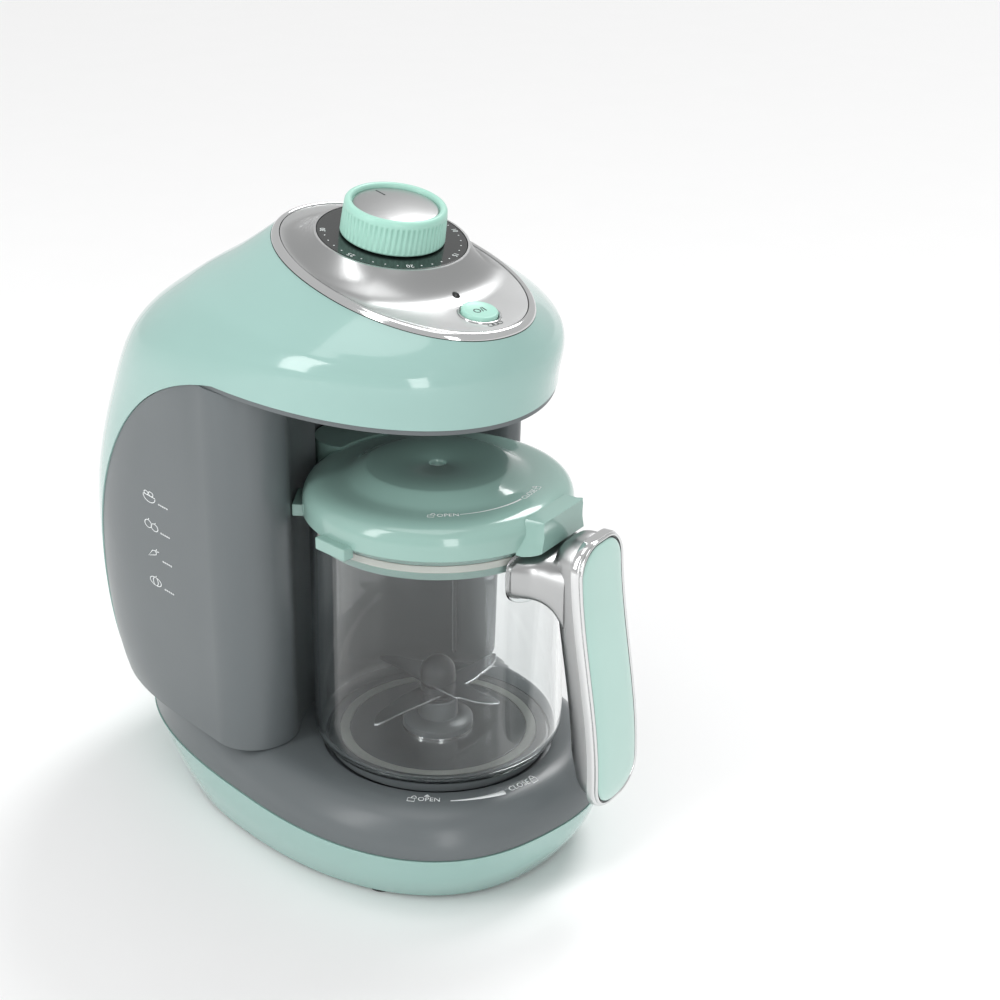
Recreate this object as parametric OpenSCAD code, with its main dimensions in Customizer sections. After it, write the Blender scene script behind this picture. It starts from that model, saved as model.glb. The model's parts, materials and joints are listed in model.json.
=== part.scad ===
// Counter-top baby food maker: a steamer and blender with a jug on its base.
// Millimetres. Origin on the tabletop under the middle of the whole object,
// +Z up, the front faces -Y, +X is on the right seen from the front.

/* [Housing] */
// Half-width of the head at its rim
head_half_width = 86.2; // [84:0.1:88]
// Wall of the outer shell and the base bowl
shell_wall = 2.6; // [2:0.1:3]
// Wall of the gray liner
liner_wall = 2.5; // [2:0.1:2.8]
// Height of the deck that the jug stands on
deck_z = 49; // [48.5:0.1:49.2]

/* [Control panel] */
// Half-length of the panel plate
panel_a = 63.4; // [62:0.1:64]
// Half-width of the panel plate
panel_b = 41; // [40:0.1:42]
// Forward tilt of the panel
panel_tilt = 11.3; // [10:0.1:12]
// Height of the dial above the panel plate
pedestal_h = 10; // [9.8:0.1:10.2]
// Radius of the knob at its foot
knob_r = 22.4; // [21:0.1:23]
// Height of the knob
knob_h = 14.7; // [13:0.1:15]
// Travel of the power button
button_travel = 1.5; // [1:0.1:1.5]

/* [Jug] */
// Outer radius of the jug
jug_r = 56.2; // [56:0.1:56.2]
// Wall of the jug
jug_wall = 2.8; // [2.6:0.1:2.8]
// Height of the jug's floor underside above the table
jug_z = 51.5; // [51.5:0.1:51.7]
// Height of the jug's rim above the table
jug_top = 168.5; // [167:0.1:168.5]
// Direction of the handle about the jug's axis
handle_az = -76; // [-80:1:-72]
// Outer radius of the lid's skirt
lid_r = 58.9; // [58.8:0.1:59.2]

/* [Drive] */
// Radius of the motor and blade shafts
shaft_r = 3; // [2.8:0.1:3]
// Radial running clearance of the shafts
run_gap = 0.05; // [0.03:0.01:0.08]
// Outer radius of the motor frame
motor_r = 30; // [28:0.5:31]

/* [Hidden] */
jug_y = -49;
panel_y = -25.4;
panel_z = 262;
knob_y = 8.1;
led_y = -34.8;
button_y = -49.4;
dial_z = 12.2;
lug_gap = 0.4;
gap = 0.15;
lobe_r = 17;
lobe_reach = 76;
pocket_r = 78;
column_r = 63.5;
pocket_edge_az = 108.4;
ring_front = 44;
ring_rear = 32;
mint = "#a3cfc5";
gray = "#6f7577";
dark = "#33383a";
silver = "#b9bcbe";
steel = "#c9ccce";

// Body sections from the panel edge down to the base rim. Each is
// [height at y = 0, slope, front y, widest y, back y, half-width, front exponent, back exponent].
body_levels = [
    [267.0, 0.199, -91.6, -25.0,  41.0, 45.0, 2.1, 2.1],
    [255.4, 0.180, -94.5, -15.0,  53.0, 64.0, 2.1, 2.2],
    [244.8, 0.150, -95.5,   5.0,  67.0, 77.0, 2.1, 2.3],
    [223.5, 0.100, -94.2,  33.0,  96.0, head_half_width, 2.0, 2.2],
    [190.2, 0.050, -140,   46.0, 116.0, 85.8, 2.3, 2.6],
    [150.0, 0.020, -250,   57.0, 133.5, 85.0, 2.5, 2.8],
    [110.0, 0.000, -250,   57.0, 142.0, 84.5, 2.5, 2.7],
    [ 70.0, 0.000, -250,   50.0, 141.0, 83.6, 2.5, 2.6],
    [ 45.0, 0.000, -250,   29.0, 135.0, 82.8, 2.5, 2.6],
    [ 29.0, 0.000, -121.6, -6.7, 126.0, 81.7, 2.5, 2.5]
];
// The head alone, with a fifth section that carries its front on downwards.
head_levels = concat([for (i = [0:3]) body_levels[i]], [[190.2, 0.05, -90, 46, 116, 85.8, 2.3, 2.6]]);
// Base bowl sections from its rim down to the underside.
bowl_levels = [
    [29.0, 0, -121.6, -6.7, 126.0, 81.7, 2.5, 2.5],
    [15.0, 0, -117.4, -1.4, 111.0, 79.2, 2.4, 2.4],
    [ 1.6, 0, -108.6,  4.2,  96.6, 74.6, 2.3, 2.3]
];
// The mint shell ends on this ellipse at the sides: centre y, centre z, half-depth, half-height.
edge_ellipse = [-18, 75, 127, 150];

function mix(a, b, t) = a + (b - a) * t;
function smooth(t) = let (u = min(1, max(0, t))) u * u * (3 - 2 * u);
function crv(a, b, c, d, t) =
    (2 * b + (c - a) * t + (2 * a - 5 * b + 4 * c - d) * t * t + (3 * b - a - 3 * c + d) * t * t * t) / 2;
function spow(v, e) = sign(v) * pow(abs(v), e);

// One section of a level table at the fractional level s.
function level(table, s) =
    let (last = len(table) - 1, i = min(floor(s), last - 1), t = s - i)
    let (a = table[max(i - 1, 0)], b = table[i], c = table[i + 1], d = table[min(i + 2, last)])
    [for (k = [0:7]) crv(a[k], b[k], c[k], d[k], t)];

// Point of a section at the angle a from the front, moved inwards by inset and down by drop.
function section_point(L, a, inset = 0, drop = 0) =
    let (front = cos(a) >= 0, e = 2 / (front ? L[6] : L[7]))
    let (reach = front ? L[3] - L[2] - inset : L[4] - L[3] - inset)
    let (x = (L[5] - inset) * spow(sin(a), e), y = L[3] - reach * spow(cos(a), e))
    [x, y, L[0] + L[1] * y - drop];

// Half-width of a section at the depth y.
function section_x(L, y) =
    let (front = y < L[3], n = front ? L[6] : L[7])
    let (u = front ? (L[3] - y) / (L[3] - L[2]) : (y - L[3]) / (L[4] - L[3]))
    L[5] * pow(max(0, 1 - pow(min(1, u), n)), 1 / n);

// Depth at which the mint shell meets the gray liner, for the section L.
function edge_y(L, y = 40, n = 5) =
    n == 0 ? y :
    let (u = (L[0] + L[1] * y - edge_ellipse[1]) / edge_ellipse[3])
    edge_y(L, edge_ellipse[0] + edge_ellipse[2] * sqrt(max(0, 1 - u * u)), n - 1);

// Angle from the front of that meeting line.
function edge_angle(L) =
    let (y = edge_y(L))
    y < L[3] ? acos(pow((L[3] - y) / (L[3] - L[2]), L[6] / 2))
             : acos(-pow((y - L[3]) / (L[4] - L[3]), L[7] / 2));

// Angles of a ring: the front stretch, then the rear stretch, split at the edge angle.
function ring_angles(edge, shrink = 1) = concat(
    [for (j = [0:ring_front]) shrink * (-edge + 2 * edge * j / ring_front)],
    [for (j = [1:ring_rear - 1]) edge + (360 - 2 * edge) * j / ring_rear]);

// Solid through closed loops of equal length, joined in order.
module loft(loops, wrap = false, down = false) {
    n = len(loops[0]);
    m = len(loops);
    side = [for (i = [0:m - (wrap ? 1 : 2)], j = [0:n - 1])
        let (k = (i + 1) % m, a = i * n + j, b = i * n + (j + 1) % n, c = k * n + (j + 1) % n, d = k * n + j)
        each down ? [[a, b, c], [a, c, d]] : [[a, d, c], [a, c, b]]];
    low = [for (j = [0:n - 1]) j];
    high = [for (j = [0:n - 1]) (m - 1) * n + n - 1 - j];
    caps = wrap ? [] : down ? [[for (j = [n - 1:-1:0]) low[j]], [for (j = [n - 1:-1:0]) high[j]]] : [low, high];
    polyhedron([for (l = loops) each l], concat(side, caps));
}

// Solid between an outer grid P and an inner grid Q, only where keep[i][j] is true.
module thick_grid(P, Q, keep, closed) {
    m = len(P);
    n = len(P[0]);
    cols = closed ? n : n - 1;
    function kept(i, j) =
        i >= 0 && i < m - 1 && (closed || (j >= 0 && j < cols)) && keep[i][(j + n) % n];
    faces = [for (i = [0:m - 2], j = [0:cols - 1]) if (kept(i, j))
        let (a = i * n + j, b = i * n + (j + 1) % n, d = a + n, c = b + n, o = m * n)
        each concat(
            [[a, b, c], [a, c, d], [a + o, c + o, b + o], [a + o, d + o, c + o]],
            kept(i - 1, j) ? [] : [[b, a, a + o], [b, a + o, b + o]],
            kept(i, j + 1) ? [] : [[c, b, b + o], [c, b + o, c + o]],
            kept(i + 1, j) ? [] : [[d, c, c + o], [d, c + o, d + o]],
            kept(i, j - 1) ? [] : [[a, d, d + o], [a, d + o, a + o]])];
    polyhedron(concat([for (r = P) each r], [for (r = Q) each r]), faces);
}

// Round tube along a path, with closed ends.
module tube(path, r, sides = 10) {
    m = len(path);
    function along(i) = let (v = path[min(i + 1, m - 1)] - path[max(i - 1, 0)]) v / norm(v);
    loops = [for (i = [0:m - 1])
        let (t = along(i), ref = abs(t[0]) < 0.8 ? [1, 0, 0] : [0, 1, 0])
        let (u = cross(ref, t) / norm(cross(ref, t)), v = cross(t, u))
        [for (k = [0:sides - 1]) path[i] + r * (cos(360 * k / sides) * u + sin(360 * k / sides) * v)]];
    loft(loops);
}

// Flat ring between two radii.
module ring(r_out, r_in, z0, z1, fn = 96) {
    translate([0, 0, z0]) difference() {
        cylinder(r = r_out, h = z1 - z0, $fn = fn);
        translate([0, 0, -1]) cylinder(r = r_in, h = z1 - z0 + 2, $fn = fn);
    }
}

module disc(r, z0, z1, fn = 96) {
    translate([0, 0, z0]) cylinder(r = r, h = z1 - z0, $fn = fn);
}

module at_jug() { translate([0, jug_y, 0]) children(); }
module at_handle() { at_jug() rotate([0, 0, handle_az]) children(); }
module at_panel() { translate([0, panel_y, panel_z]) rotate([panel_tilt, 0, 0]) children(); }
module at_knob() { at_panel() translate([0, knob_y, 0]) children(); }

// ---------------------------------------------------------------- housing

shell_rows = concat([for (s = [0:0.34:2.75]) s], [3],
    [3.12, 3.3, 3.5, 3.75], [for (s = [4:0.4:8.8]) s], [9]);
rim_row = 10;

module outer_shell() color(mint) {
    rim_edge = edge_angle(level(body_levels, 3)) + 6.5;
    sections = [for (s = shell_rows) level(s < 3 ? head_levels : body_levels, s)];
    angles = [for (i = [0:len(shell_rows) - 1])
        ring_angles(i <= rim_row - 1 ? rim_edge : edge_angle(sections[i]))];
    P = [for (i = [0:len(shell_rows) - 1]) [for (a = angles[i]) section_point(sections[i], a)]];
    Q = [for (i = [0:len(shell_rows) - 1])
        let (drop = 2.2 * max(0, 1 - shell_rows[i] / 3))
        [for (a = angles[i]) section_point(sections[i], a, shell_wall, drop)]];
    keep = [for (i = [0:len(shell_rows) - 2]) [for (j = [0:ring_front + ring_rear - 1])
        i < rim_row - 1 || j >= ring_front]];
    difference() {
        thick_grid(P, Q, keep, true);
        at_cap() disc(15.6, -25, 25, 64);
    }
}

module base_bowl() color(mint) {
    rows = [0.02, 0.3, 0.6, 0.9, 1.2, 1.5, 1.75, 2];
    angles = ring_angles(edge_angle(body_levels[9]));
    outer = [for (s = rows) [for (a = angles) section_point(level(bowl_levels, s), a)]];
    foot = bowl_levels[2];
    flange = [for (h = [0, 2.4]) [for (a = angles) section_point(foot, a, 14, -h)]];
    inner = [for (i = [len(rows) - 1:-1:0])
        [for (a = angles) let (p = section_point(level(bowl_levels, rows[i]), a, shell_wall))
            [p[0], p[1], max(p[2], foot[0] + 2.4)]]];
    inner_rows = [for (i = [1:len(inner) - 1]) inner[i]];
    loft(concat(outer, flange, inner_rows), wrap = true, down = true);
}

// Line of the column's face at a section, from the left edge round the front to the right edge.
// r_left and r_right are the radii of the hollow behind the jug, off moves the line inwards.
function column_line(L, r_left, r_right, off) =
    let (inset = 0.6 + off)
    let (left = column_half(L, r_left, 20, inset, off), right = column_half(L, r_right, r_right > 70 ? 8 : 20, inset, off))
    let (wing = [for (k = [0:6]) let (az = mix(180 - left[1], pocket_edge_az, k / 6))
        [(r_left + off) * cos(az), jug_y + (r_left + off) * sin(az)]])
    let (pocket = [for (k = [0:16]) let (az = mix(pocket_edge_az - 0.7, right[1], k / 16))
        [(r_right + off) * cos(az), jug_y + (r_right + off) * sin(az)]])
    concat([for (p = left[0]) [-p[0], p[1]]], wing, pocket, [for (i = [len(right[0]) - 1:-1:0]) right[0][i]]);

// Right half of the line up to the hollow: [points from the edge forward, azimuth of the hollow's end].
function column_half(L, r_hollow, r_corner, inset, off) =
    let (w = section_x(L, 8) - 0.6, xc = w - r_corner)
    let (yc = jug_y + sqrt(pow(r_hollow + r_corner, 2) - xc * xc))
    let (az = atan2(yc - jug_y, xc), y_start = max(edge_y(L) - 1.7, yc + 2))
    let (wing_side = [for (k = [0:7]) let (y = mix(y_start, yc + 1, k / 7), t = smooth((y - yc) / 14))
        [mix(w - off, section_x(L, y) - inset, t), y]])
    let (corner = [for (k = [0:8]) let (t = mix(0, -180 + az, k / 8))
        [xc + (r_corner - off) * cos(t), yc + (r_corner - off) * sin(t)]])
    [concat(wing_side, [for (k = [0:7]) corner[k]]), az];

column_rows = [3.12, 3.3, 3.55, 3.8, 4.1, 4.4, 4.65, 4.812, 4.826, 5.1, 5.5, 6, 6.5, 7, 7.4, 7.79];
ledge_rows = [7, 8];
side_cols = 7;
nozzle_z = 168.5;

// Angle from the front of the section's point at the depth y, ahead of its widest place.
function front_angle(L, y) = acos(pow((L[3] - y) / (L[3] - L[2]), L[6] / 2));

module liner() color(gray) {
    rim = body_levels[3];
    top = level(body_levels, 3.06);
    top_line = [for (off = [0, liner_wall]) column_line(top, column_r, pocket_r, off)];
    n = len(top_line[0]);
    a_left = -front_angle(rim, top_line[0][side_cols][1] - 12);
    a_right = front_angle(rim, top_line[0][n - 1 - side_cols][1] - 12);
    head = [for (q = [0, 1]) [for (t = [0, 0.05, 0.35, 0.7, 1]) [for (j = [0:n - 1])
        let (a = mix(a_left, a_right, (j - side_cols) / (n - 1 - 2 * side_cols)))
        let (p = section_point(rim, a, 0.6), c = top_line[q][j], out = j < side_cols || j > n - 1 - side_cols)
        let (x = out ? c[0] : mix(p[0], c[0], t), y = out ? c[1] : mix(p[1], c[1], t))
        [x, y, rim[0] + rim[1] * y - (q == 0 ? 2.2 : 0.2)]]]];
    column = [for (q = [0, 1]) [for (i = [0:len(column_rows) - 1])
        let (L = level(body_levels, column_rows[i]), high = i <= ledge_rows[0])
        let (sink = q == 1 && (i == ledge_rows[0] || i == ledge_rows[1]) ? liner_wall : 0)
        [for (p = column_line(L, column_r, high ? pocket_r : column_r, q * liner_wall))
            [p[0], p[1], L[0] + L[1] * p[1] - sink]]]];
    P = concat(head[0], column[0]);
    Q = concat(head[1], column[1]);
    keep = [for (i = [0:len(P) - 2]) [for (j = [0:n - 2])
        i > 3 || (j >= side_cols && j < n - 1 - side_cols)]];
    difference() {
        thick_grid(P, Q, keep, false);
        translate([0, 20, nozzle_z]) rotate([-90, 0, 0]) cylinder(r = 5.2, h = 16, $fn = 32);
    }
}

seat_r = 53;
seat_z = deck_z - 4.8;
drive_hole_r = 15.5;

// Inset of the deck's rounded shoulder at the angle a, full at the front and slight behind the column.
function shoulder(a) = mix(17, 3, smooth((abs(a > 180 ? a - 360 : a) - 82) / 24));

deck_rim = body_levels[9];
deck_angles = ring_angles(edge_angle(deck_rim), 0.985);

// Row of the deck's shoulder at the slope t, moved inwards by wall.
function deck_row(t, wall) = [for (j = [0:len(deck_angles) - 1])
    let (a = deck_angles[j], start = j > ring_front ? 3.2 : 0.6)
    let (p = section_point(deck_rim, a, start + wall + shoulder(a) * (1 - cos(t))))
    [p[0], p[1], deck_rim[0] + 0.4 + (deck_z - deck_rim[0] - 0.4) * sin(t) - wall * sin(t)]];

// Circle about the jug's axis with the same number of points.
function seat_row(r, z) = [for (a = deck_angles)
    let (p = section_point(deck_rim, a, 3), d = [p[0], p[1] - jug_y], q = d / norm(d) * r)
    [q[0], q[1] + jug_y, z]];

module base_deck() color(gray)
    loft(concat(
        [for (t = [0, 15, 30, 45, 60, 75, 90]) deck_row(t, 0)],
        [seat_row(seat_r, deck_z), seat_row(seat_r, seat_z), seat_row(drive_hole_r, seat_z)],
        [seat_row(drive_hole_r, seat_z - 2.5), seat_row(seat_r + 2.5, seat_z - 2.5)],
        [seat_row(seat_r + 2.5, deck_z - 2.5)],
        [for (t = [90, 60, 30, 0]) deck_row(t, 2.5)]), wrap = true);

module bottom_plate() color(dark) {
    L = bowl_levels[2];
    outline = [for (a = [0:6:354]) let (p = section_point(L, a, 5)) [p[0], p[1]]];
    translate([0, 0, 4.15]) difference() {
        linear_extrude(2) polygon(outline);
        for (x = [-24:8:24], y = [40:8:64])
            translate([x, y, -1]) cylinder(r = 2, h = 4, $fn = 24);
    }
}

foot_spots = [[-52, -71], [52, -71], [-52, 59], [52, 59]];
screw_spots = [[-66, -33], [66, -33], [-66, 27], [66, 27], [0, -101], [0, 89]];

module rubber_feet() color(dark)
    for (p = foot_spots) translate([p[0], p[1], 0]) cylinder(r = 6, h = 1.6, $fn = 48);

module bottom_screws() color(steel)
    for (p = screw_spots) translate([p[0], p[1], 1.9]) {
        cylinder(r = 2.6, h = 1.6, $fn = 32);
        cylinder(r = 1.4, h = 9, $fn = 32);
    }

module cord_inlet() color(dark) translate([0, 105, 17]) rotate([-90, 0, 0]) difference() {
    union() {
        cylinder(r = 8, h = 18, $fn = 48);
        translate([0, 0, 13.5]) cylinder(r = 10, h = 2.5, $fn = 48);
    }
    translate([0, 0, -1]) cylinder(r = 3.6, h = 20, $fn = 48);
}

// ---------------------------------------------------------------- control panel

// Loop of the panel's oval, grown by d, at the height z.
function oval(d, z, n = 72) = [for (k = [0:n - 1]) let (a = 360 * k / n - 90)
    [(panel_b + d) * spow(cos(a), 0.95), (panel_a + d) * spow(sin(a), 0.95), z]];

function knob_loop(r, z, n = 72) = [for (k = [0:n - 1]) let (p = oval(0, 0, n)[k] - [0, knob_y, 0])
    let (q = p / norm(p) * r) [q[0], q[1] + knob_y, z]];

module panel_bezel() color(steel) at_panel()
    loft([oval(3.9, 0.3), oval(3.3, 1.5), oval(1.6, 2.7), oval(0.5, 2.6), oval(0.5, 0.3)], wrap = true);

flare_r = 33.2;

// Row of the panel plate from its edge (t = 0) to the foot of the dial's pedestal (t = 1).
function flare_row(t, drop) =
    let (edge = oval(0.2, 0), foot = knob_loop(flare_r, 0))
    [for (k = [0:71])
        let (p = mix(edge[k], foot[k], t), q = norm(p - foot[k]) / min(norm(edge[k] - foot[k]), 17))
        [p[0], p[1], 2.2 - drop + pedestal_h * pow(max(0, 1 - q), 2.2)]];

module control_panel() color(silver) at_panel() difference() {
    loft(concat(
        [flare_row(0, 1.9)], [for (t = [0, 0.2, 0.4, 0.55, 0.7, 0.8, 0.9, 0.96, 1]) flare_row(t, 0)],
        [knob_loop(32.2, 2.2 + pedestal_h), knob_loop(32.2, pedestal_h + 0.4)],
        [knob_loop(12, pedestal_h + 0.4), knob_loop(12, pedestal_h - 1.4)],
        [knob_loop(31, pedestal_h - 1.4)], [for (t = [0.96, 0.8, 0.55, 0.2]) flare_row(t, 1.9)]), wrap = true);
    translate([0, button_y, -5]) cylinder(r = 8.1, h = 20, $fn = 64);
    translate([0, led_y, -5]) cylinder(r = 1.7, h = 20, $fn = 32);
}

module dial_ring() color("#1d2325") at_knob() ring(32, 14, pedestal_h + 0.5, dial_z);

module knob() color(mint) at_knob() translate([0, 0, dial_z + 0.6]) difference() {
    cylinder(r1 = knob_r, r2 = knob_r - 1.1, h = knob_h, $fn = 96);
    translate([0, 0, knob_h - 2.2]) cylinder(r = 18.5, h = 3, $fn = 96);
    translate([0, 0, -1]) difference() {
        cylinder(r = 19, h = knob_h - 4, $fn = 96);
        cylinder(r = 6, h = knob_h, $fn = 48);
    }
    translate([0, 0, -1]) cylinder(r = shaft_r, h = knob_h - 5, $fn = 48);
}

module knob_cap() color(silver) at_knob() disc(18.3, dial_z + 0.6 + knob_h - 2.1, dial_z + knob_h + 0.3);

module knob_shaft() color(steel) at_knob() disc(shaft_r, -4, dial_z + knob_h - 6.5, 48);

module timer() color(dark) at_knob() difference() {
    union() {
        translate([-19, -19, -22]) cube([38, 38, 24]);
        disc(7, 2, 7, 48);
    }
    disc(shaft_r + run_gap, -5, 8, 48);
}

module power_button() color(mint) at_panel() translate([0, button_y, 0]) {
    disc(7.7, 0, 4.2, 64);
    disc(9.4, -1.8, 0, 64);
    disc(2.4, -4.2, -1.8, 32);
}

// Return spring of the button, hung on its stem.
module button_spring() color(steel) at_panel() translate([0, button_y, 0])
    tube([for (k = [0:40]) [3.6 * cos(36 * k), 3.6 * sin(36 * k), -2.15 - 2.4 * k / 40]], 0.3, 6);

module power_switch() color(dark) at_panel() translate([-4, button_y - 4, -7.3]) cube([8, 8, 1.2]);

module led_lens() color("#d8ece4") at_panel() translate([0, led_y, 0]) disc(1.5, -7.3, 2.6, 32);

module control_board() color("#2f6b4a") at_panel() translate([-26, -60, -9]) cube([52, 42, 1.6]);

// ---------------------------------------------------------------- drive

module motor_frame() color(silver) at_jug() difference() {
    disc(motor_r, 8.2, 37.5);
    disc(motor_r - 2, 10.2, 35.5);
    disc(8, 7, 39, 48);
}

module motor_bearings() color(steel) at_jug() {
    ring(8, shaft_r + run_gap, 8.2, 12.2, 48);
    ring(8, shaft_r + run_gap, 33.5, 37.5, 48);
}

module motor_rotor() color("#8a5a3c") at_jug() ring(23, shaft_r, 17, 31, 72);

module motor_shaft() color(steel) at_jug() disc(shaft_r, 8, 46, 48);

module cooling_fan() color(dark) at_jug() {
    ring(5, shaft_r, 12.6, 16, 48);
    for (a = [0:45:315]) rotate([0, 0, a]) translate([4.5, -0.6, 12.6]) cube([18, 1.2, 3.2]);
}

module motor_mounts() color(dark) at_jug()
    for (a = [45:90:315]) rotate([0, 0, a]) translate([24, 0, 6.2]) cylinder(r = 4.5, h = 2, $fn = 32);

module drive_dog() color(dark) at_jug() difference() {
    union() {
        disc(6, 38.2, 50, 48);
        for (a = [0, 180]) rotate([0, 0, a]) translate([0, -2, 44.6]) cube([8.2, 4, 5.4]);
    }
    disc(shaft_r, 37, 46, 48);
}

module power_board() color("#2f6b4a") translate([-30, 37, 9]) cube([60, 46, 1.6]);

// ---------------------------------------------------------------- steam

tank_min = [-50, 53, 122];
tank_size = [100, 34, 84];
cap_spot = [0, 105, 219.4];
cap_tilt = 60;
module at_cap() { translate(cap_spot) rotate([-cap_tilt, 0, 0]) children(); }

module water_tank() color("#cfd9db") difference() {
    union() {
        translate(tank_min) cube(tank_size);
        at_cap() disc(12, -26, -1.5, 64);
    }
    translate(tank_min + [2, 2, 2]) cube(tank_size - [4, 4, 4]);
    at_cap() disc(10, -30, 0, 64);
}

module filler_ring() color(gray) at_cap() difference() {
    union() {
        disc(25, 0.3, 2.2, 96);
        disc(15, -10, 0.3, 96);
    }
    disc(12.3, -11, 3, 96);
}

module tank_cap() color(mint) at_cap() difference() {
    union() {
        disc(20, 2.6, 6.4, 96);
        disc(9.3, -7, 2.6, 64);
        translate([-16, -2.5, 6.4]) cube([32, 5, 4.6]);
    }
    disc(7.3, -8, 1, 64);
}

module cap_seal() color(dark) at_cap() ring(9.75, 9.3, -5, -3, 64);

boiler_y = 69;
module boiler() color(silver) translate([0, boiler_y, 0]) difference() {
    disc(27, 60, 100);
    disc(24.5, 62.5, 97.5);
}

module heating_element() color("#7d6a58") translate([0, boiler_y, 70])
    rotate_extrude($fn = 96) translate([16, 0]) circle(r = 3.2, $fn = 32);

module thermostat() color(dark) translate([12, boiler_y - 10, 100.2]) cylinder(r = 6, h = 5, $fn = 48);

module feed_tube() color("#e6e2d4") tube([[-12, 75, 100.2], [-12, 75, 106], [-13, 75, 112], [-14, 75, 121.8]], 3.2, 12);

module steam_tube() color("#e6e2d4")
    tube([[0, 53, 100.2], [0, 53, 104], [0, 51, 109], [0, 47, 114], [0, 44, 122], [0, 43, 134], [0, 43, 150],
        [0, 42.5, 158], [0, 41, 164], [0, 38.5, 167.5], [0, 36.2, 168.5]], 3.2, 12);

module steam_nozzle() color(dark) translate([0, 0, nozzle_z]) rotate([-90, 0, 0]) difference() {
    union() {
        disc(4.9, 27.6, 36, 48);
        disc(9, 27.6, 28.3, 64);
    }
    disc(3, 27, 37, 48);
}

module nozzle_gasket() color(dark) translate([0, 0, nozzle_z]) rotate([-90, 0, 0]) ring(8.5, 5, 31.9, 32.9, 48);

// ---------------------------------------------------------------- jug seat

module lock_ring() color(silver) at_jug() difference() {
    ring(52.2, 38, seat_z + 0.3, seat_z + 2.8);
    for (a = [handle_az, handle_az + 120, handle_az + 240]) rotate([0, 0, a])
        translate([44, -4.5, 0]) cube([4.5, 9, 100]);
}

module interlock_switch() color(dark) at_jug() rotate([0, 0, 20]) translate([40, -6, 30]) cube([14, 12, 11.2]);

// ---------------------------------------------------------------- jug

module jug() color([0.9, 0.95, 0.95, 0.35]) at_jug() rotate_extrude($fn = 128) polygon(concat(
    [[16.1, jug_z], [jug_r - 8, jug_z]],
    [for (t = [-80:20:-10]) [jug_r - 8 + 8 * cos(t), jug_z + 8 + 8 * sin(t)]],
    [[jug_r, jug_z + 9], [jug_r, jug_top - 1], [jug_r - 0.8, jug_top], [jug_r - jug_wall + 0.6, jug_top]],
    [[jug_r - jug_wall, jug_top - 1], [jug_r - jug_wall, jug_z + 9]],
    [for (t = [-15:-25:-75]) [jug_r - 8 + 5.2 * cos(t), jug_z + 8 + 5.2 * sin(t)]],
    [[jug_r - 9, jug_z + 2.8], [16.1, jug_z + 2.8]]));

module blade_base() color(gray) at_jug() union() {
    rotate_extrude($fn = 128) polygon([
        [13.5, 47.3], [50, 47.3], [50, 51.35], [45, 51.35], [45, 49.8], [40, 49.8], [40, 51.35], [16, 51.35],
        [16, 57], [9, 59], [9, 68], [5.5, 68], [5.5, 55.5], [13.5, 55]]);
    for (a = [handle_az, handle_az + 120, handle_az + 240]) rotate([0, 0, a])
        translate([44.5, -4, seat_z + 0.6]) cube([3.5, 8, 3.2]);
}

module base_gasket() color(dark) at_jug() ring(44.6, 40.4, 49.9, 51.45);

module blade_bearing() color("#a08850") at_jug() ring(5.45, shaft_r + run_gap, 56, 66, 48);

module blade_seal() color(dark) at_jug() ring(5.45, shaft_r + run_gap, 66.2, 67.8, 48);

// Distance of the grip's frame from the jug's axis at the height z.
function grip_x(z) = let (u = (z - 60) / 100) 89.1 - 31.6 * u * u + 20.4 * u * u * u;

grip_ends = [46, 168];
grip_w = 17.8;
frame_depth = 4;

// Heights and sizes of the grip's sections, rounded at both ends: [height, share of the full section].
function grip_round(end, up) = [for (v = [0:18:90]) [end + up * 13 * (1 - cos(v)), 0.3 + 0.7 * sin(v)]];
grip_stations = concat(
    grip_round(grip_ends[0], 1),
    [for (k = [1:6]) [mix(grip_ends[0] + 13, grip_ends[1] - 13, k / 7), 1]],
    [for (k = [5:-1:0]) grip_round(grip_ends[1], -1)[k]]);

// Section of the grip at the height z: back and front are its depths from x0, w its half-width.
function grip_loop(z, x0, back, front, w, e = 0.5, n = 28) = [for (k = [0:n - 1])
    let (a = 360 * k / n, c = cos(a))
    [grip_x(z) + x0 + (c >= 0 ? front * pow(c, e) : -back * pow(-c, e)), w * spow(sin(a), e), z]];

// Depth of the shell behind the frame, deepest where the fingers close round it.
function shell_depth(z) = 9 + 4.5 * smooth((z - 46) / 25);

// Sections of the neck between the jug's wall and the grip: [radius, half-width, bottom, top].
neck_sections = [[48, 25, 138.5, 159.3], [54, 23.6, 138.5, 159.1], [60, 21, 138.5, 158.6],
    [64, 18.2, 136.5, 157.6], [68, 15.5, 132, 156], [72, 13, 123, 155]];

function neck_loop(s, n = 24) = [for (k = [0:n - 1])
    let (a = 360 * k / n)
    [s[0], s[1] * spow(cos(a), 0.5), (s[2] + s[3]) / 2 + (s[3] - s[2]) / 2 * spow(sin(a), 0.5)]];

// Neck between the jug and the grip; its far end sits in the shell.
module handle_bracket() color("#c4c4c2") at_handle() difference() {
    loft([for (s = neck_sections) neck_loop(s)]);
    rotate([0, 0, 1.1]) disc(jug_r + 0.25, 130, 165, 180);
}

// Shell behind the frame.
module handle_shell() color("#c4c4c2") at_handle()
    loft([for (s = grip_stations) let (f = min(1, s[1] + 0.02))
        grip_loop(s[0] + (s[0] < 100 ? 1.2 : -1.2), -0.4, shell_depth(s[0]) * f, 0.1, 12.6 * f)]);

module handle_frame() color(steel) at_handle()
    loft([for (s = grip_stations) grip_loop(s[0], 0, 0.2, frame_depth, grip_w * s[1], 0.3)]);

module handle_inlay() color("#bfe3da") at_handle()
    loft([for (s = grip_stations) if (s[1] > 0.5)
        grip_loop(s[0], frame_depth + 0.25, 0.05, 2, (grip_w - 2) * s[1], 0.7)]);

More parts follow.
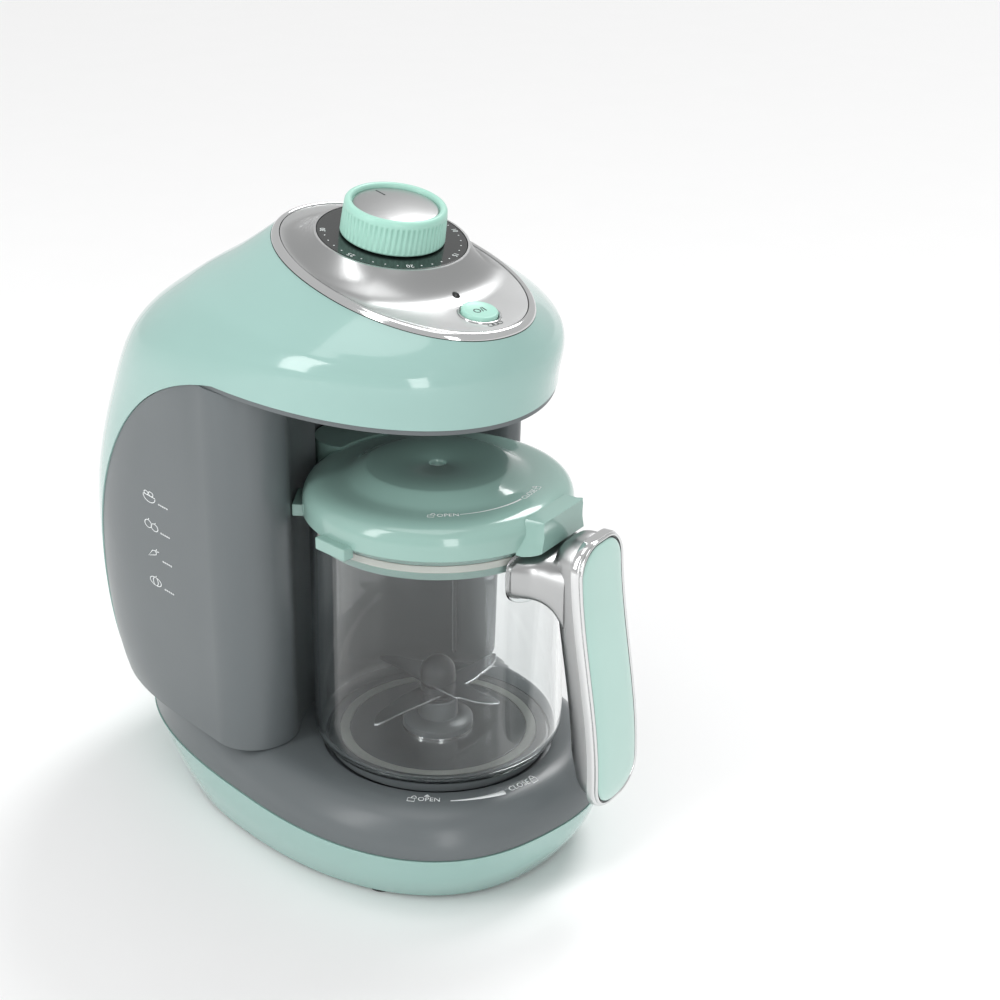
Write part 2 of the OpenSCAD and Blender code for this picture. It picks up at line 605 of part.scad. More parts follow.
// Two screws from the shell into the frame.
module handle_screws() color(steel) at_handle()
    for (z = [64, 112]) translate([grip_x(z) - 7, 0, z]) rotate([0, 90, 0]) cylinder(r = 1.4, h = 9, $fn = 24);

// ---------------------------------------------------------------- blades

module blade_shaft() color(steel) at_jug() disc(shaft_r, 50.7, 76, 48);

// Cup with two inner lugs, a quarter turn away from the lugs of the motor's dog.
module jug_dog() color(dark) at_jug() difference() {
    union() {
        ring(12, 8.6, 44.7, 50.6, 64);
        disc(12, 50.5, 53.4, 64);
        for (a = [90, 270]) rotate([0, 0, a]) translate([6.4, -2, 44.7]) cube([3, 4, 6]);
    }
    disc(shaft_r, 50, 54, 48);
}

// Two-armed curved blade, flat in its own plane.
module blade(reach, z) {
    translate([0, 0, z]) linear_extrude(1.2) for (s = [0, 180]) rotate(s)
        polygon([[0, -6.5], [10, -6], [reach * 0.7, -2.5], [reach, 6], [reach * 0.8, 7], [12, 6.5], [0, 6.5]]);
}

module lower_blade() color(steel) at_jug() difference() {
    blade(42, 70.4);
    disc(shaft_r, 69, 73, 48);
}

module upper_blade() color(steel) at_jug() rotate([0, 0, 90]) difference() {
    blade(34, 75);
    disc(shaft_r, 74, 76, 48);
    disc(shaft_r, 73, 75.5, 48);
}

module blade_hub() color(dark) at_jug() {
    ring(8, shaft_r, 68.6, 70.3, 48);
    ring(8, shaft_r, 71.7, 74.9, 48);
    disc(8, 76.3, 80, 48);
    translate([0, 0, 80]) intersection() {
        sphere(r = 8, $fn = 48);
        disc(9, 0, 9, 48);
    }
}

// ---------------------------------------------------------------- lid

lid_top = 181.6;
lobe_z = 163.5;
skirt_r = 57.2;

module lid_body() rotate_extrude($fn = 128) polygon([
    [3.6, lid_top], [31.2, lid_top], [32.6, lid_top - 0.8], [38.5, 177.4], [42, 176.6], [49, 176.4], [53.5, 175.4],
    [56.6, 173.4], [58.3, 170.6], [lid_r, 167], [lid_r, 162], [skirt_r, 162], [skirt_r, 169], [55.5, 170],
    [54, 170], [53, 169], [53, 158.1], [52, 158.1], [52, 154.9], [53, 154.9], [53, 151.6], [50.6, 151.6],
    [50.6, 171.5], [48, 173.9], [41.5, 174.3], [37.6, 175], [31.5, 178.4], [30.6, 179.2], [3.6, 179.2]]);

// Room for the jug's wall inside the pieces that stand out of the lid's skirt.
module lid_room() {
    disc(57.8, 150, 171.1);
    disc(51.3, 150, 200);
}

module lid() color("#8db5aa") at_jug() union() {
    lid_body();
    difference() {
        translate([0, lobe_reach - lobe_r, lobe_z]) cylinder(r = lobe_r, h = 13.6, $fn = 64);
        lid_room();
        translate([0, 62, nozzle_z]) rotate([-90, 0, 0]) cylinder(r = 3, h = 20, $fn = 48);
    }
    rotate([0, 0, handle_az]) difference() {
        union() {
            loft([for (q = [[49, 22, 16, 161], [58, 21, 16, 160.4], [64.2, 16.5, 15.6, 161.4]])
                [[q[0], -q[1], q[3]], [q[0], q[1], q[3]], [q[0], q[2], 174.8], [q[0], -q[2], 174.8]]]);
            translate([60, -15.4, 169.9]) cube([8.5, 30.8, 4.7]);
        }
        lid_room();
    }
    for (a = [-177, -46, 44, 134]) rotate([0, 0, a]) difference() {
        translate([49, -9, 158]) cube([13.6, 18, 5.5]);
        lid_room();
    }
}

module lid_gasket() color("#dfe8e4") at_jug() ring(53.3, 52.05, 155, 158);

// ---------------------------------------------------------------- nodes

outer_shell();
base_bowl();
liner();
base_deck();
bottom_plate();
rubber_feet();
bottom_screws();
cord_inlet();
panel_bezel();
control_panel();
dial_ring();
knob();
knob_cap();
knob_shaft();
timer();
power_button();
button_spring();
power_switch();
led_lens();
control_board();
motor_frame();
motor_bearings();
motor_rotor();
motor_shaft();
cooling_fan();
motor_mounts();
drive_dog();
power_board();
water_tank();
filler_ring();
tank_cap();
cap_seal();
boiler();
heating_element();
thermostat();
feed_tube();
steam_tube();
steam_nozzle();
nozzle_gasket();
lock_ring();
interlock_switch();
jug();
blade_base();
base_gasket();
blade_bearing();
blade_seal();
handle_bracket();
handle_shell();
handle_frame();
handle_inlay();
handle_screws();
blade_shaft();
jug_dog();
lower_blade();
upper_blade();
blade_hub();
lid();
lid_gasket();
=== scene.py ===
"""Looks of the counter-top baby food maker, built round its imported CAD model.

Shapes are in mm and angles in degrees; a mesh or a place is turned into metres where it is made. The floor,
camera and lights are in metres.
"""
import json
import math

import bmesh
import bpy
import numpy as np
from mathutils import Matrix, Vector
from mathutils.bvhtree import BVHTree


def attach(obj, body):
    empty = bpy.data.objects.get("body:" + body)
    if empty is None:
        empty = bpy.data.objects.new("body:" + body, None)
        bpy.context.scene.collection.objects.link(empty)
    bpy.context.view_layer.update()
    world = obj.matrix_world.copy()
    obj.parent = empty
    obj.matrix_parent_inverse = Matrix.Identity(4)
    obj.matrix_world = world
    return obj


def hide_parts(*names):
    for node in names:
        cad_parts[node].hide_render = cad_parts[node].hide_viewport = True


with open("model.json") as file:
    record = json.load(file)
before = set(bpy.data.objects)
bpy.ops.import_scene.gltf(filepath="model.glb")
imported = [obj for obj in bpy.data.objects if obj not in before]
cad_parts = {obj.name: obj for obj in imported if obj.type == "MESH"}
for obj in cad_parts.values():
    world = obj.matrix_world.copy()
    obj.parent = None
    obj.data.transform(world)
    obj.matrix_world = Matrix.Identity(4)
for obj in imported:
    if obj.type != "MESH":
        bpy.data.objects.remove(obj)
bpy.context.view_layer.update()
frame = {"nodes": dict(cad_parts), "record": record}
scene = bpy.context.scene
MM = 0.001
rad = math.radians

# ---------------------------------------------------------------- places

JUG_Y = -49.0
HANDLE_AZ = -76.0
PANEL_A = 63.4
PANEL_B = 41.0
KNOB_Y = 8.1
BUTTON_Y = -49.4
LED_Y = -34.8
DIAL_Z = 12.2
DECK_Z = 49.0
SEAT_R = 53.0
SEAT_Z = DECK_Z - 4.8
DECK_WALL = 2.5
DRIVE_HOLE_R = 15.5
NOZZLE_Z = 168.5


def shift(x, y, z):
    return Matrix.Translation(Vector((x, y, z)) * MM)


AT_JUG = shift(0, JUG_Y, 0)
AT_HANDLE = AT_JUG @ Matrix.Rotation(rad(HANDLE_AZ), 4, "Z")
AT_PANEL = shift(0, -25.4, 262) @ Matrix.Rotation(rad(11.3), 4, "X")
AT_KNOB = AT_PANEL @ shift(0, KNOB_Y, 0)
AT_BUTTON = AT_PANEL @ shift(0, BUTTON_Y, 0)
AT_CAP = shift(0, 105, 219.4) @ Matrix.Rotation(rad(-60), 4, "X")

# ---------------------------------------------------------------- materials


def linear(rgb):
    """sRGB from 0 to 255, as linear colour."""
    out = []
    for v in rgb:
        c = v / 255
        out.append(c / 12.92 if c <= 0.04045 else ((c + 0.055) / 1.055) ** 2.4)
    return (*out, 1.0)


def finish(name, rgb, rough, metal=0.0, coat=0.0, vary=0.04, rough_vary=0.06, grain=900.0, bump=0.02,
           stretch=(1, 1, 1), transmission=0.0, ior=1.46, speckle=0.0, patch=14.0):
    """A moulded, painted or metal finish: mottled colour, uneven gloss and a fine surface grain."""
    mat = bpy.data.materials.new(name)
    mat.use_nodes = True
    nodes = mat.node_tree.nodes
    links = mat.node_tree.links
    shader = nodes["Principled BSDF"]
    shader.inputs["Metallic"].default_value = metal
    shader.inputs["IOR"].default_value = ior
    shader.inputs["Coat Weight"].default_value = coat
    shader.inputs["Coat Roughness"].default_value = 0.04
    shader.inputs["Transmission Weight"].default_value = transmission
    place = nodes.new("ShaderNodeTexCoord")
    mapping = nodes.new("ShaderNodeMapping")
    mapping.inputs["Scale"].default_value = stretch
    links.new(place.outputs["Object"], mapping.inputs["Vector"])

    def noise(scale, detail):
        node = nodes.new("ShaderNodeTexNoise")
        node.inputs["Scale"].default_value = scale
        node.inputs["Detail"].default_value = detail
        links.new(mapping.outputs["Vector"], node.inputs["Vector"])
        return node

    broad = noise(patch, 3)
    ramp = nodes.new("ShaderNodeValToRGB")
    base = linear(rgb)
    ramp.color_ramp.elements[0].position = 0.25
    ramp.color_ramp.elements[1].position = 0.75
    ramp.color_ramp.elements[0].color = [c * (1 - vary) for c in base[:3]] + [1]
    ramp.color_ramp.elements[1].color = [min(1, c * (1 + vary)) for c in base[:3]] + [1]
    if speckle:
        fine = noise(grain * 0.5, 2)
        blend = nodes.new("ShaderNodeMath")
        blend.operation = "MULTIPLY_ADD"
        blend.inputs[1].default_value = speckle
        links.new(fine.outputs["Fac"], blend.inputs[0])
        links.new(broad.outputs["Fac"], blend.inputs[2])
        links.new(blend.outputs[0], ramp.inputs["Fac"])
    else:
        links.new(broad.outputs["Fac"], ramp.inputs["Fac"])
    links.new(ramp.outputs["Color"], shader.inputs["Base Color"])
    gloss = nodes.new("ShaderNodeMapRange")
    gloss.inputs["From Min"].default_value = 0.3
    gloss.inputs["From Max"].default_value = 0.7
    gloss.inputs["To Min"].default_value = max(0.0, rough * (1 - rough_vary))
    gloss.inputs["To Max"].default_value = min(1.0, rough * (1 + rough_vary))
    links.new(noise(patch * 3, 4).outputs["Fac"], gloss.inputs["Value"])
    links.new(gloss.outputs["Result"], shader.inputs["Roughness"])
    relief = nodes.new("ShaderNodeBump")
    relief.inputs["Strength"].default_value = bump
    relief.inputs["Distance"].default_value = 0.0004
    links.new(noise(grain, 2).outputs["Fac"], relief.inputs["Height"])
    links.new(relief.outputs["Normal"], shader.inputs["Normal"])
    return mat


MINT = finish("mint_gloss", (149, 184, 177), 0.13, coat=0.6, vary=0.025, bump=0.015)
LID = finish("mint_lid", (143, 177, 168), 0.15, coat=0.5, vary=0.03, bump=0.02)
KNOB = finish("mint_knob", (164, 211, 196), 0.34, vary=0.03, bump=0.05)
INLAY = finish("mint_inlay", (176, 210, 201), 0.22, coat=0.5, vary=0.03, bump=0.015)
GRAY = finish("gray_satin", (99, 105, 107), 0.3, vary=0.04, bump=0.05, speckle=0.12)
DARK = finish("dark_plastic", (40, 45, 47), 0.42, vary=0.06, bump=0.06)
DIAL = finish("dial_black", (17, 22, 21), 0.18, coat=0.4, vary=0.06)
SATIN = finish("satin_silver", (176, 177, 177), 0.3, metal=1, vary=0.03, grain=2600, bump=0.05)
CHROME = finish("bright_chrome", (216, 217, 217), 0.09, metal=1, vary=0.02, bump=0.008)
STEEL = finish("blade_steel", (186, 188, 190), 0.2, metal=1, vary=0.05, grain=400, bump=0.06,
               stretch=(1, 14, 1))
ALUMINIUM = finish("aluminium", (168, 170, 172), 0.45, metal=1, vary=0.07, bump=0.12)
COPPER = finish("copper_pack", (150, 92, 58), 0.4, metal=1, vary=0.14, grain=1400, bump=0.2,
                stretch=(1, 1, 9))
BRONZE = finish("bronze", (150, 122, 72), 0.42, metal=1, vary=0.08, bump=0.1)
CLEAR = finish("clear_plastic", (250, 252, 252), 0.012, transmission=1, vary=0.004, bump=0.003, ior=1.45)
FROST = finish("frosted_plastic", (226, 234, 236), 0.4, transmission=0.75, vary=0.02, bump=0.06)
RUBBER = finish("rubber", (36, 38, 39), 0.8, vary=0.08, bump=0.2)
PALE = finish("pale_rubber", (226, 228, 220), 0.6, vary=0.03, bump=0.12)
BOARD = finish("circuit_board", (38, 96, 66), 0.4, vary=0.12, patch=160, bump=0.1, speckle=0.3)
INK = finish("white_ink", (232, 236, 236), 0.5, vary=0.02, bump=0.04)
LENS = finish("dark_lens", (14, 16, 18), 0.08, coat=0.8, vary=0.05)
PRINT = finish("dark_print", (58, 66, 66), 0.5, vary=0.04, bump=0.04)

SLOT_FINISH = {
    "mint_shell": MINT, "mint_lid": LID, "gray_liner": GRAY, "silver_panel": SATIN, "dark_plastic": DARK,
    "clear_plastic": CLEAR, "frosted_plastic": FROST, "bright_trim": CHROME, "steel": STEEL,
    "aluminium": ALUMINIUM, "copper_pack": COPPER, "bronze": BRONZE, "rubber": RUBBER,
    "pale_rubber": PALE, "board": BOARD,
}
for row in frame["record"]["subparts"]:
    data = frame["nodes"][row["node"]].data
    data.materials.clear()
    data.materials.append(SLOT_FINISH[row["material_slot"]])
for name, mat in (("led_lens", LENS), ("dial_ring", DIAL)):
    frame["nodes"][name].data.materials[0] = mat

# ---------------------------------------------------------------- mesh helpers


def piece(name, shape, mat, body, stands_for=(), place=None, bevel=0.0, sharp=34.0, segments=3):
    """Mesh object from (points, faces), riding on a body.

    Edges that turn more than sharp are rounded by bevel, or stay crisp where bevel is 0.
    """
    points, faces = shape
    mesh = bpy.data.meshes.new(name)
    mesh.from_pydata([tuple(p) for p in np.asarray(points, float) * MM], [], [tuple(f) for f in faces])
    if place is not None:
        mesh.transform(place)
    work = bmesh.new()
    work.from_mesh(mesh)
    bmesh.ops.remove_doubles(work, verts=work.verts, dist=0.000004)
    bmesh.ops.dissolve_degenerate(work, dist=0.000002, edges=work.edges)
    bmesh.ops.recalc_face_normals(work, faces=work.faces)
    work.to_mesh(mesh)
    work.free()
    mesh.materials.append(mat)
    mesh.polygons.foreach_set("use_smooth", [True] * len(mesh.polygons))
    ob = bpy.data.objects.new(name, mesh)
    scene.collection.objects.link(ob)
    if bevel:
        edge = ob.modifiers.new("edge", "BEVEL")
        edge.width = bevel * MM
        edge.segments = segments
        edge.limit_method = "ANGLE"
        edge.angle_limit = rad(sharp)
        edge.harden_normals = True
    else:
        mesh.set_sharp_from_angle(angle=rad(sharp))
    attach(ob, body)
    if stands_for:
        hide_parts(*stands_for)
    return ob


def join(*shapes):
    points = []
    faces = []
    for p, f in shapes:
        base = len(points)
        points.extend(tuple(v) for v in p)
        faces.extend([tuple(i + base for i in face) for face in f])
    return points, faces


def move(shape, matrix):
    """The shape moved by a matrix that is in metres."""
    m = np.array(matrix)
    p = np.asarray(shape[0], float) @ m[:3, :3].T + m[:3, 3] / MM
    return [tuple(v) for v in p], shape[1]


def loft(loops, wrap=False):
    m = len(loops)
    n = len(loops[0])
    points = [tuple(p) for loop in loops for p in loop]
    faces = []
    for i in range(m if wrap else m - 1):
        k = (i + 1) % m
        for j in range(n):
            q = (j + 1) % n
            faces.append((i * n + j, i * n + q, k * n + q, k * n + j))
    if not wrap:
        faces.append(tuple(range(n)))
        faces.append(tuple((m - 1) * n + j for j in reversed(range(n))))
    return points, faces


def turned(profile, steps=144):
    """Solid of revolution about Z from a closed line of (radius, height)."""
    loops = []
    for k in range(steps):
        a = 2 * math.pi * k / steps
        loops.append([(r * math.cos(a), r * math.sin(a), z) for r, z in profile])
    return loft(loops, wrap=True)


def block(lo, hi):
    return loft([[(lo[0], lo[1], z), (hi[0], lo[1], z), (hi[0], hi[1], z), (lo[0], hi[1], z)]
                 for z in (lo[2], hi[2])])


def drum(r, z0, z1, steps=64):
    return loft([[(r * math.cos(2 * math.pi * k / steps), r * math.sin(2 * math.pi * k / steps), z)
                  for k in range(steps)] for z in (z0, z1)])


def tube(path, r, sides=12, closed=False):
    """Round rod along a path of points in mm."""
    path = np.asarray(path, float)
    m = len(path)
    loops = []
    for i in range(m):
        before = path[(i - 1) % m] if closed else path[max(i - 1, 0)]
        after = path[(i + 1) % m] if closed else path[min(i + 1, m - 1)]
        t = (after - before) / np.linalg.norm(after - before)
        ref = np.array([1.0, 0, 0]) if abs(t[0]) < 0.8 else np.array([0, 1.0, 0])
        u = np.cross(ref, t)
        u /= np.linalg.norm(u)
        v = np.cross(t, u)
        turns = [2 * math.pi * k / sides for k in range(sides)]
        loops.append([path[i] + r * (math.cos(a) * u + math.sin(a) * v) for a in turns])
    return loft(loops, wrap=closed)


def thick_grid(outer, inner, keep, closed):
    """Solid between two grids of points, only where keep(i, j) is true."""
    m = len(outer)
    n = len(outer[0])
    cols = n if closed else n - 1
    off = m * n
    faces = []

    def kept(i, j):
        return 0 <= i < m - 1 and (closed or 0 <= j < cols) and keep(i, j % n)

    for i in range(m - 1):
        for j in range(cols):
            if not kept(i, j):
                continue
            a = i * n + j
            b = i * n + (j + 1) % n
            c = b + n
            d = a + n
            faces.append((a, b, c, d))
            faces.append((d + off, c + off, b + off, a + off))
            if not kept(i - 1, j):
                faces.append((b, a, a + off, b + off))
            if not kept(i, j + 1):
                faces.append((c, b, b + off, c + off))
            if not kept(i + 1, j):
                faces.append((d, c, c + off, d + off))
            if not kept(i, j - 1):
                faces.append((a, d, d + off, a + off))
    points = [tuple(p) for row in outer for p in row] + [tuple(p) for row in inner for p in row]
    used = sorted({v for f in faces for v in f})
    index = {v: k for k, v in enumerate(used)}
    return [points[v] for v in used], [tuple(index[v] for v in f) for f in faces]


def cut(ob, *shapes):
    """Cuts the shapes, in mm in the shared frame, out of the object."""
    for shape in shapes:
        mesh = bpy.data.meshes.new("cutter")
        mesh.from_pydata([tuple(p) for p in np.asarray(shape[0]) * MM], [], [tuple(f) for f in shape[1]])
        work = bmesh.new()
        work.from_mesh(mesh)
        bmesh.ops.recalc_face_normals(work, faces=work.faces)
        work.to_mesh(mesh)
        work.free()
        tool = bpy.data.objects.new("cutter", mesh)
        scene.collection.objects.link(tool)
        mod = ob.modifiers.new("cut", "BOOLEAN")
        mod.object = tool
        mod.solver = "EXACT"
        ob.modifiers.move(len(ob.modifiers) - 1, 0)
        with bpy.context.temp_override(object=ob, active_object=ob):
            bpy.ops.object.modifier_apply(modifier=mod.name)
        bpy.data.objects.remove(tool)


# ---------------------------------------------------------------- body sections

# Each is [height at y = 0, slope, front y, widest y, back y, half-width, front exponent, back exponent].
BODY = np.array([
    [267.0, 0.199, -91.6, -25.0, 41.0, 45.0, 2.1, 2.1],
    [255.4, 0.180, -94.5, -15.0, 53.0, 64.0, 2.1, 2.2],
    [244.8, 0.150, -95.5, 5.0, 67.0, 77.0, 2.1, 2.3],
    [223.5, 0.100, -94.2, 33.0, 96.0, 86.2, 2.0, 2.2],
    [190.2, 0.050, -140, 46.0, 116.0, 85.8, 2.3, 2.6],
    [150.0, 0.020, -250, 57.0, 133.5, 85.0, 2.5, 2.8],
    [110.0, 0.000, -250, 57.0, 142.0, 84.5, 2.5, 2.7],
    [70.0, 0.000, -250, 50.0, 141.0, 83.6, 2.5, 2.6],
    [45.0, 0.000, -250, 29.0, 135.0, 82.8, 2.5, 2.6],
    [29.0, 0.000, -121.6, -6.7, 126.0, 81.7, 2.5, 2.5],
])
HEAD = np.vstack([BODY[:4], [190.2, 0.05, -90, 46, 116, 85.8, 2.3, 2.6]])
BOWL = np.array([
    [29.0, 0, -121.6, -6.7, 126.0, 81.7, 2.5, 2.5],
    [15.0, 0, -117.4, -1.4, 111.0, 79.2, 2.4, 2.4],
    [1.6, 0, -108.6, 4.2, 96.6, 74.6, 2.3, 2.3],
])
EDGE = (-18.0, 75.0, 127.0, 150.0)
SHELL_WALL = 2.6
LINER_WALL = 2.5
COLUMN_R = 63.5
POCKET_R = 78.0
POCKET_AZ = 108.4


def mix(a, b, t):
    return a + (b - a) * t


def smooth(t):
    u = min(1.0, max(0.0, t))
    return u * u * (3 - 2 * u)


def spow(v, e):
    return math.copysign(abs(v) ** e, v)


def level(table, s):
    last = len(table) - 1
    i = min(int(math.floor(s)), last - 1)
    t = s - i
    a, b, c, d = table[max(i - 1, 0)], table[i], table[i + 1], table[min(i + 2, last)]
    return (2 * b + (c - a) * t + (2 * a - 5 * b + 4 * c - d) * t * t
            + (3 * b - a - 3 * c + d) * t ** 3) / 2


def section_point(L, deg, inset=0.0, drop=0.0):
    front = math.cos(rad(deg)) >= 0
    e = 2 / (L[6] if front else L[7])
    reach = L[3] - L[2] - inset if front else L[4] - L[3] - inset
    x = (L[5] - inset) * spow(math.sin(rad(deg)), e)
    y = L[3] - reach * spow(math.cos(rad(deg)), e)
    return (x, y, L[0] + L[1] * y - drop)


def section_x(L, y):
    front = y < L[3]
    n = L[6] if front else L[7]
    u = (L[3] - y) / (L[3] - L[2]) if front else (y - L[3]) / (L[4] - L[3])
    return L[5] * max(0.0, 1 - min(1.0, u) ** n) ** (1 / n)


def edge_y(L):
    y = 40.0
    for _ in range(5):
        u = (L[0] + L[1] * y - EDGE[1]) / EDGE[3]
        y = EDGE[0] + EDGE[2] * math.sqrt(max(0.0, 1 - u * u))
    return y


def edge_angle(L):
    y = edge_y(L)
    if y < L[3]:
        return math.degrees(math.acos(((L[3] - y) / (L[3] - L[2])) ** (L[6] / 2)))
    return math.degrees(math.acos(-(((y - L[3]) / (L[4] - L[3])) ** (L[7] / 2))))


RING_FRONT = 132
RING_REAR = 120


def ring_angles(edge, shrink=1.0):
    front = [shrink * (-edge + 2 * edge * j / RING_FRONT) for j in range(RING_FRONT + 1)]
    return front + [edge + (360 - 2 * edge) * j / RING_REAR for j in range(1, RING_REAR)]


def outer_shell():
    head = list(np.linspace(0, 3, 43))
    rows = head + [3.04, 3.08, 3.12, 3.18, 3.24, 3.3, 3.4, 3.5] + list(np.linspace(3.6, 9, 70))
    rim = len(head) - 1
    rim_edge = edge_angle(level(BODY, 3))
    outer = []
    inner = []
    for i, s in enumerate(rows):
        L = level(HEAD if s < 3 else BODY, s)
        angles = ring_angles(rim_edge if i <= rim else edge_angle(L))
        drop = 2.2 * max(0.0, 1 - s / 3)
        outer.append([section_point(L, a) for a in angles])
        inner.append([section_point(L, a, SHELL_WALL, drop) for a in angles])
    return thick_grid(outer, inner, lambda i, j: i < rim or j >= RING_FRONT, True)


def base_bowl():
    rows = [0.02] + list(np.linspace(0.08, 2, 26))
    angles = ring_angles(edge_angle(BODY[9]))
    foot = BOWL[2]
    loops = [[section_point(level(BOWL, s), a) for a in angles] for s in rows]
    loops += [[section_point(foot, a, 14, -h) for a in angles] for h in (0, 2.4)]
    for s in reversed(rows[:-1]):
        loop = []
        for a in angles:
            x, y, z = section_point(level(BOWL, s), a, SHELL_WALL)
            loop.append((x, y, max(z, foot[0] + 2.4)))
        loops.append(loop)
    return loft(loops, wrap=True)


def column_half(L, r_hollow, r_corner, inset, off):
    w = section_x(L, 8) - 0.6
    xc = w - r_corner
    yc = JUG_Y + math.sqrt((r_hollow + r_corner) ** 2 - xc * xc)
    az = math.degrees(math.atan2(yc - JUG_Y, xc))
    start = max(edge_y(L) - 0.4, yc + 2)
    points = []
    for k in range(SIDE_COLS + 1):
        y = mix(start, yc + 1, k / SIDE_COLS)
        points.append((mix(w - off, section_x(L, y) - inset, smooth((y - yc) / 14)), y))
    for k in range(CORNER_COLS):
        t = rad(mix(0, -180 + az, k / CORNER_COLS))
        points.append((xc + (r_corner - off) * math.cos(t), yc + (r_corner - off) * math.sin(t)))
    return points, az


SIDE_COLS = 20
CORNER_COLS = 24


def column_line(L, r_left, r_right, off):
    inset = 0.6 + off
    left, left_az = column_half(L, r_left, 20, inset, off)
    right, right_az = column_half(L, r_right, 8 if r_right > 70 else 20, inset, off)

    def arc(r, a, b, steps):
        spots = [rad(mix(a, b, k / steps)) for k in range(steps + 1)]
        return [((r + off) * math.cos(t), JUG_Y + (r + off) * math.sin(t)) for t in spots]

    wing = arc(r_left, 180 - left_az, POCKET_AZ, 14)
    hollow = arc(r_right, POCKET_AZ - 0.7, right_az, 44)
    return [(-x, y) for x, y in left] + wing + hollow + right[::-1]


def front_angle(L, y):
    return math.degrees(math.acos(((L[3] - y) / (L[3] - L[2])) ** (L[6] / 2)))


def liner():
    rim = BODY[3]
    top = level(BODY, 3.06)
    lines = [column_line(top, COLUMN_R, POCKET_R, off) for off in (0, LINER_WALL)]
    n = len(lines[0])
    a_left = -front_angle(rim, lines[0][SIDE_COLS][1] - 2)
    a_right = front_angle(rim, lines[0][n - 1 - SIDE_COLS][1] - 2)
    fan = (0, 0.02, 0.05, 0.12, 0.22, 0.35, 0.5, 0.7, 0.85, 1)
    high_rows = list(np.linspace(3.12, 4.812, 24))
    low_rows = list(np.linspace(4.826, 7.79, 44))
    grids = []
    for q in (0, 1):
        grid = []
        for t in fan:
            row = []
            for j in range(n):
                a = mix(a_left, a_right, (j - SIDE_COLS) / (n - 1 - 2 * SIDE_COLS))
                p = section_point(rim, a, 0.6)
                c = lines[q][j]
                out = j < SIDE_COLS or j > n - 1 - SIDE_COLS
                x = c[0] if out else mix(p[0], c[0], t)
                y = c[1] if out else mix(p[1], c[1], t)
                row.append((x, y, rim[0] + rim[1] * y - (2.2 if q == 0 else 0.2)))
            grid.append(row)
        for i, s in enumerate(high_rows + low_rows):
            L = level(BODY, s)
            high = i < len(high_rows)
            sink = LINER_WALL if q == 1 and i in (len(high_rows) - 1, len(high_rows)) else 0
            line = column_line(L, COLUMN_R, POCKET_R if high else COLUMN_R, q * LINER_WALL)
            grid.append([(x, y, L[0] + L[1] * y - sink) for x, y in line])
        grids.append(grid)
    last = len(fan) - 1
    return thick_grid(grids[0], grids[1],
                      lambda i, j: i >= last or SIDE_COLS <= j < n - 1 - SIDE_COLS, False)


def shoulder(a):
    return mix(17, 3, smooth((abs(a - 360 if a > 180 else a) - 82) / 24))


def base_deck():
    rim = BODY[9]
    angles = ring_angles(edge_angle(rim), 0.985)

    def row(t, wall):
        out = []
        for j, a in enumerate(angles):
            start = 3.2 if j > RING_FRONT else 0.6
            x, y, _ = section_point(rim, a, start + wall + shoulder(a) * (1 - math.cos(rad(t))))
            out.append((x, y, rim[0] + 0.4 + (DECK_Z - rim[0] - 0.4 - wall) * math.sin(rad(t))))
        return out

    def circle(r, z):
        out = []
        for a in angles:
            x, y, _ = section_point(rim, a, 3)
            d = math.hypot(x, y - JUG_Y)
            out.append((x / d * r, (y - JUG_Y) / d * r + JUG_Y, z))
        return out

    loops = [row(t, 0) for t in range(0, 91, 5)]
    loops += [circle(SEAT_R, DECK_Z), circle(SEAT_R, SEAT_Z)]
    loops += [circle(DRIVE_HOLE_R, SEAT_Z), circle(DRIVE_HOLE_R, SEAT_Z - DECK_WALL)]
    loops += [circle(SEAT_R + DECK_WALL, SEAT_Z - DECK_WALL), circle(SEAT_R + DECK_WALL, DECK_Z - DECK_WALL)]
    loops += [row(t, DECK_WALL) for t in range(90, -1, -10)]
    return loft(loops, wrap=True)


shell = piece("shell", outer_shell(), MINT, "housing", ["outer_shell"], bevel=0.7, sharp=50)
cut(shell, move(drum(15.6, -25, 25), AT_CAP))
piece("bowl", base_bowl(), MINT, "housing", ["base_bowl"], bevel=0.6, sharp=50)
inner_face = piece("inner_liner", liner(), GRAY, "housing", ["liner"], bevel=0.6, sharp=50)
cut(inner_face, move(drum(5.2, 0, 16), shift(0, 20, NOZZLE_Z) @ Matrix.Rotation(rad(-90), 4, "X")))
deck = piece("deck", base_deck(), GRAY, "housing", ["base_deck"], bevel=0.8, sharp=50)

# ---------------------------------------------------------------- control panel

OVAL_STEPS = 180


def oval(d, z):
    out = []
    for k in range(OVAL_STEPS):
        a = rad(360 * k / OVAL_STEPS - 90)
        out.append(((PANEL_B + d) * spow(math.cos(a), 0.95), (PANEL_A + d) * spow(math.sin(a), 0.95), z))
    return out


def knob_loop(r, z):
    out = []
    for x, y, _ in oval(0, 0):
        d = math.hypot(x, y - KNOB_Y)
        out.append((x / d * r, (y - KNOB_Y) / d * r + KNOB_Y, z))
    return out


def flare_row(t, drop):
    out = []
    for e, f in zip(oval(0.2, 0), knob_loop(33.2, 0)):
        p = [mix(e[0], f[0], t), mix(e[1], f[1], t)]
        span = math.hypot(e[0] - f[0], e[1] - f[1])
        q = math.hypot(p[0] - f[0], p[1] - f[1]) / min(span, 17)
        out.append((p[0], p[1], 2.2 - drop + 10 * max(0.0, 1 - q) ** 2.2))
    return out


def panel_plate():
    loops = [flare_row(0, 1.9)] + [flare_row(t, 0) for t in np.linspace(0, 1, 41)]
    loops += [knob_loop(32.2, 12.2), knob_loop(32.2, 10.4), knob_loop(12, 10.4), knob_loop(12, 8.6)]
    loops += [knob_loop(31, 8.6)] + [flare_row(t, 1.9) for t in (0.97, 0.9, 0.8, 0.7, 0.55, 0.4, 0.2)]
    return loft(loops, wrap=True)


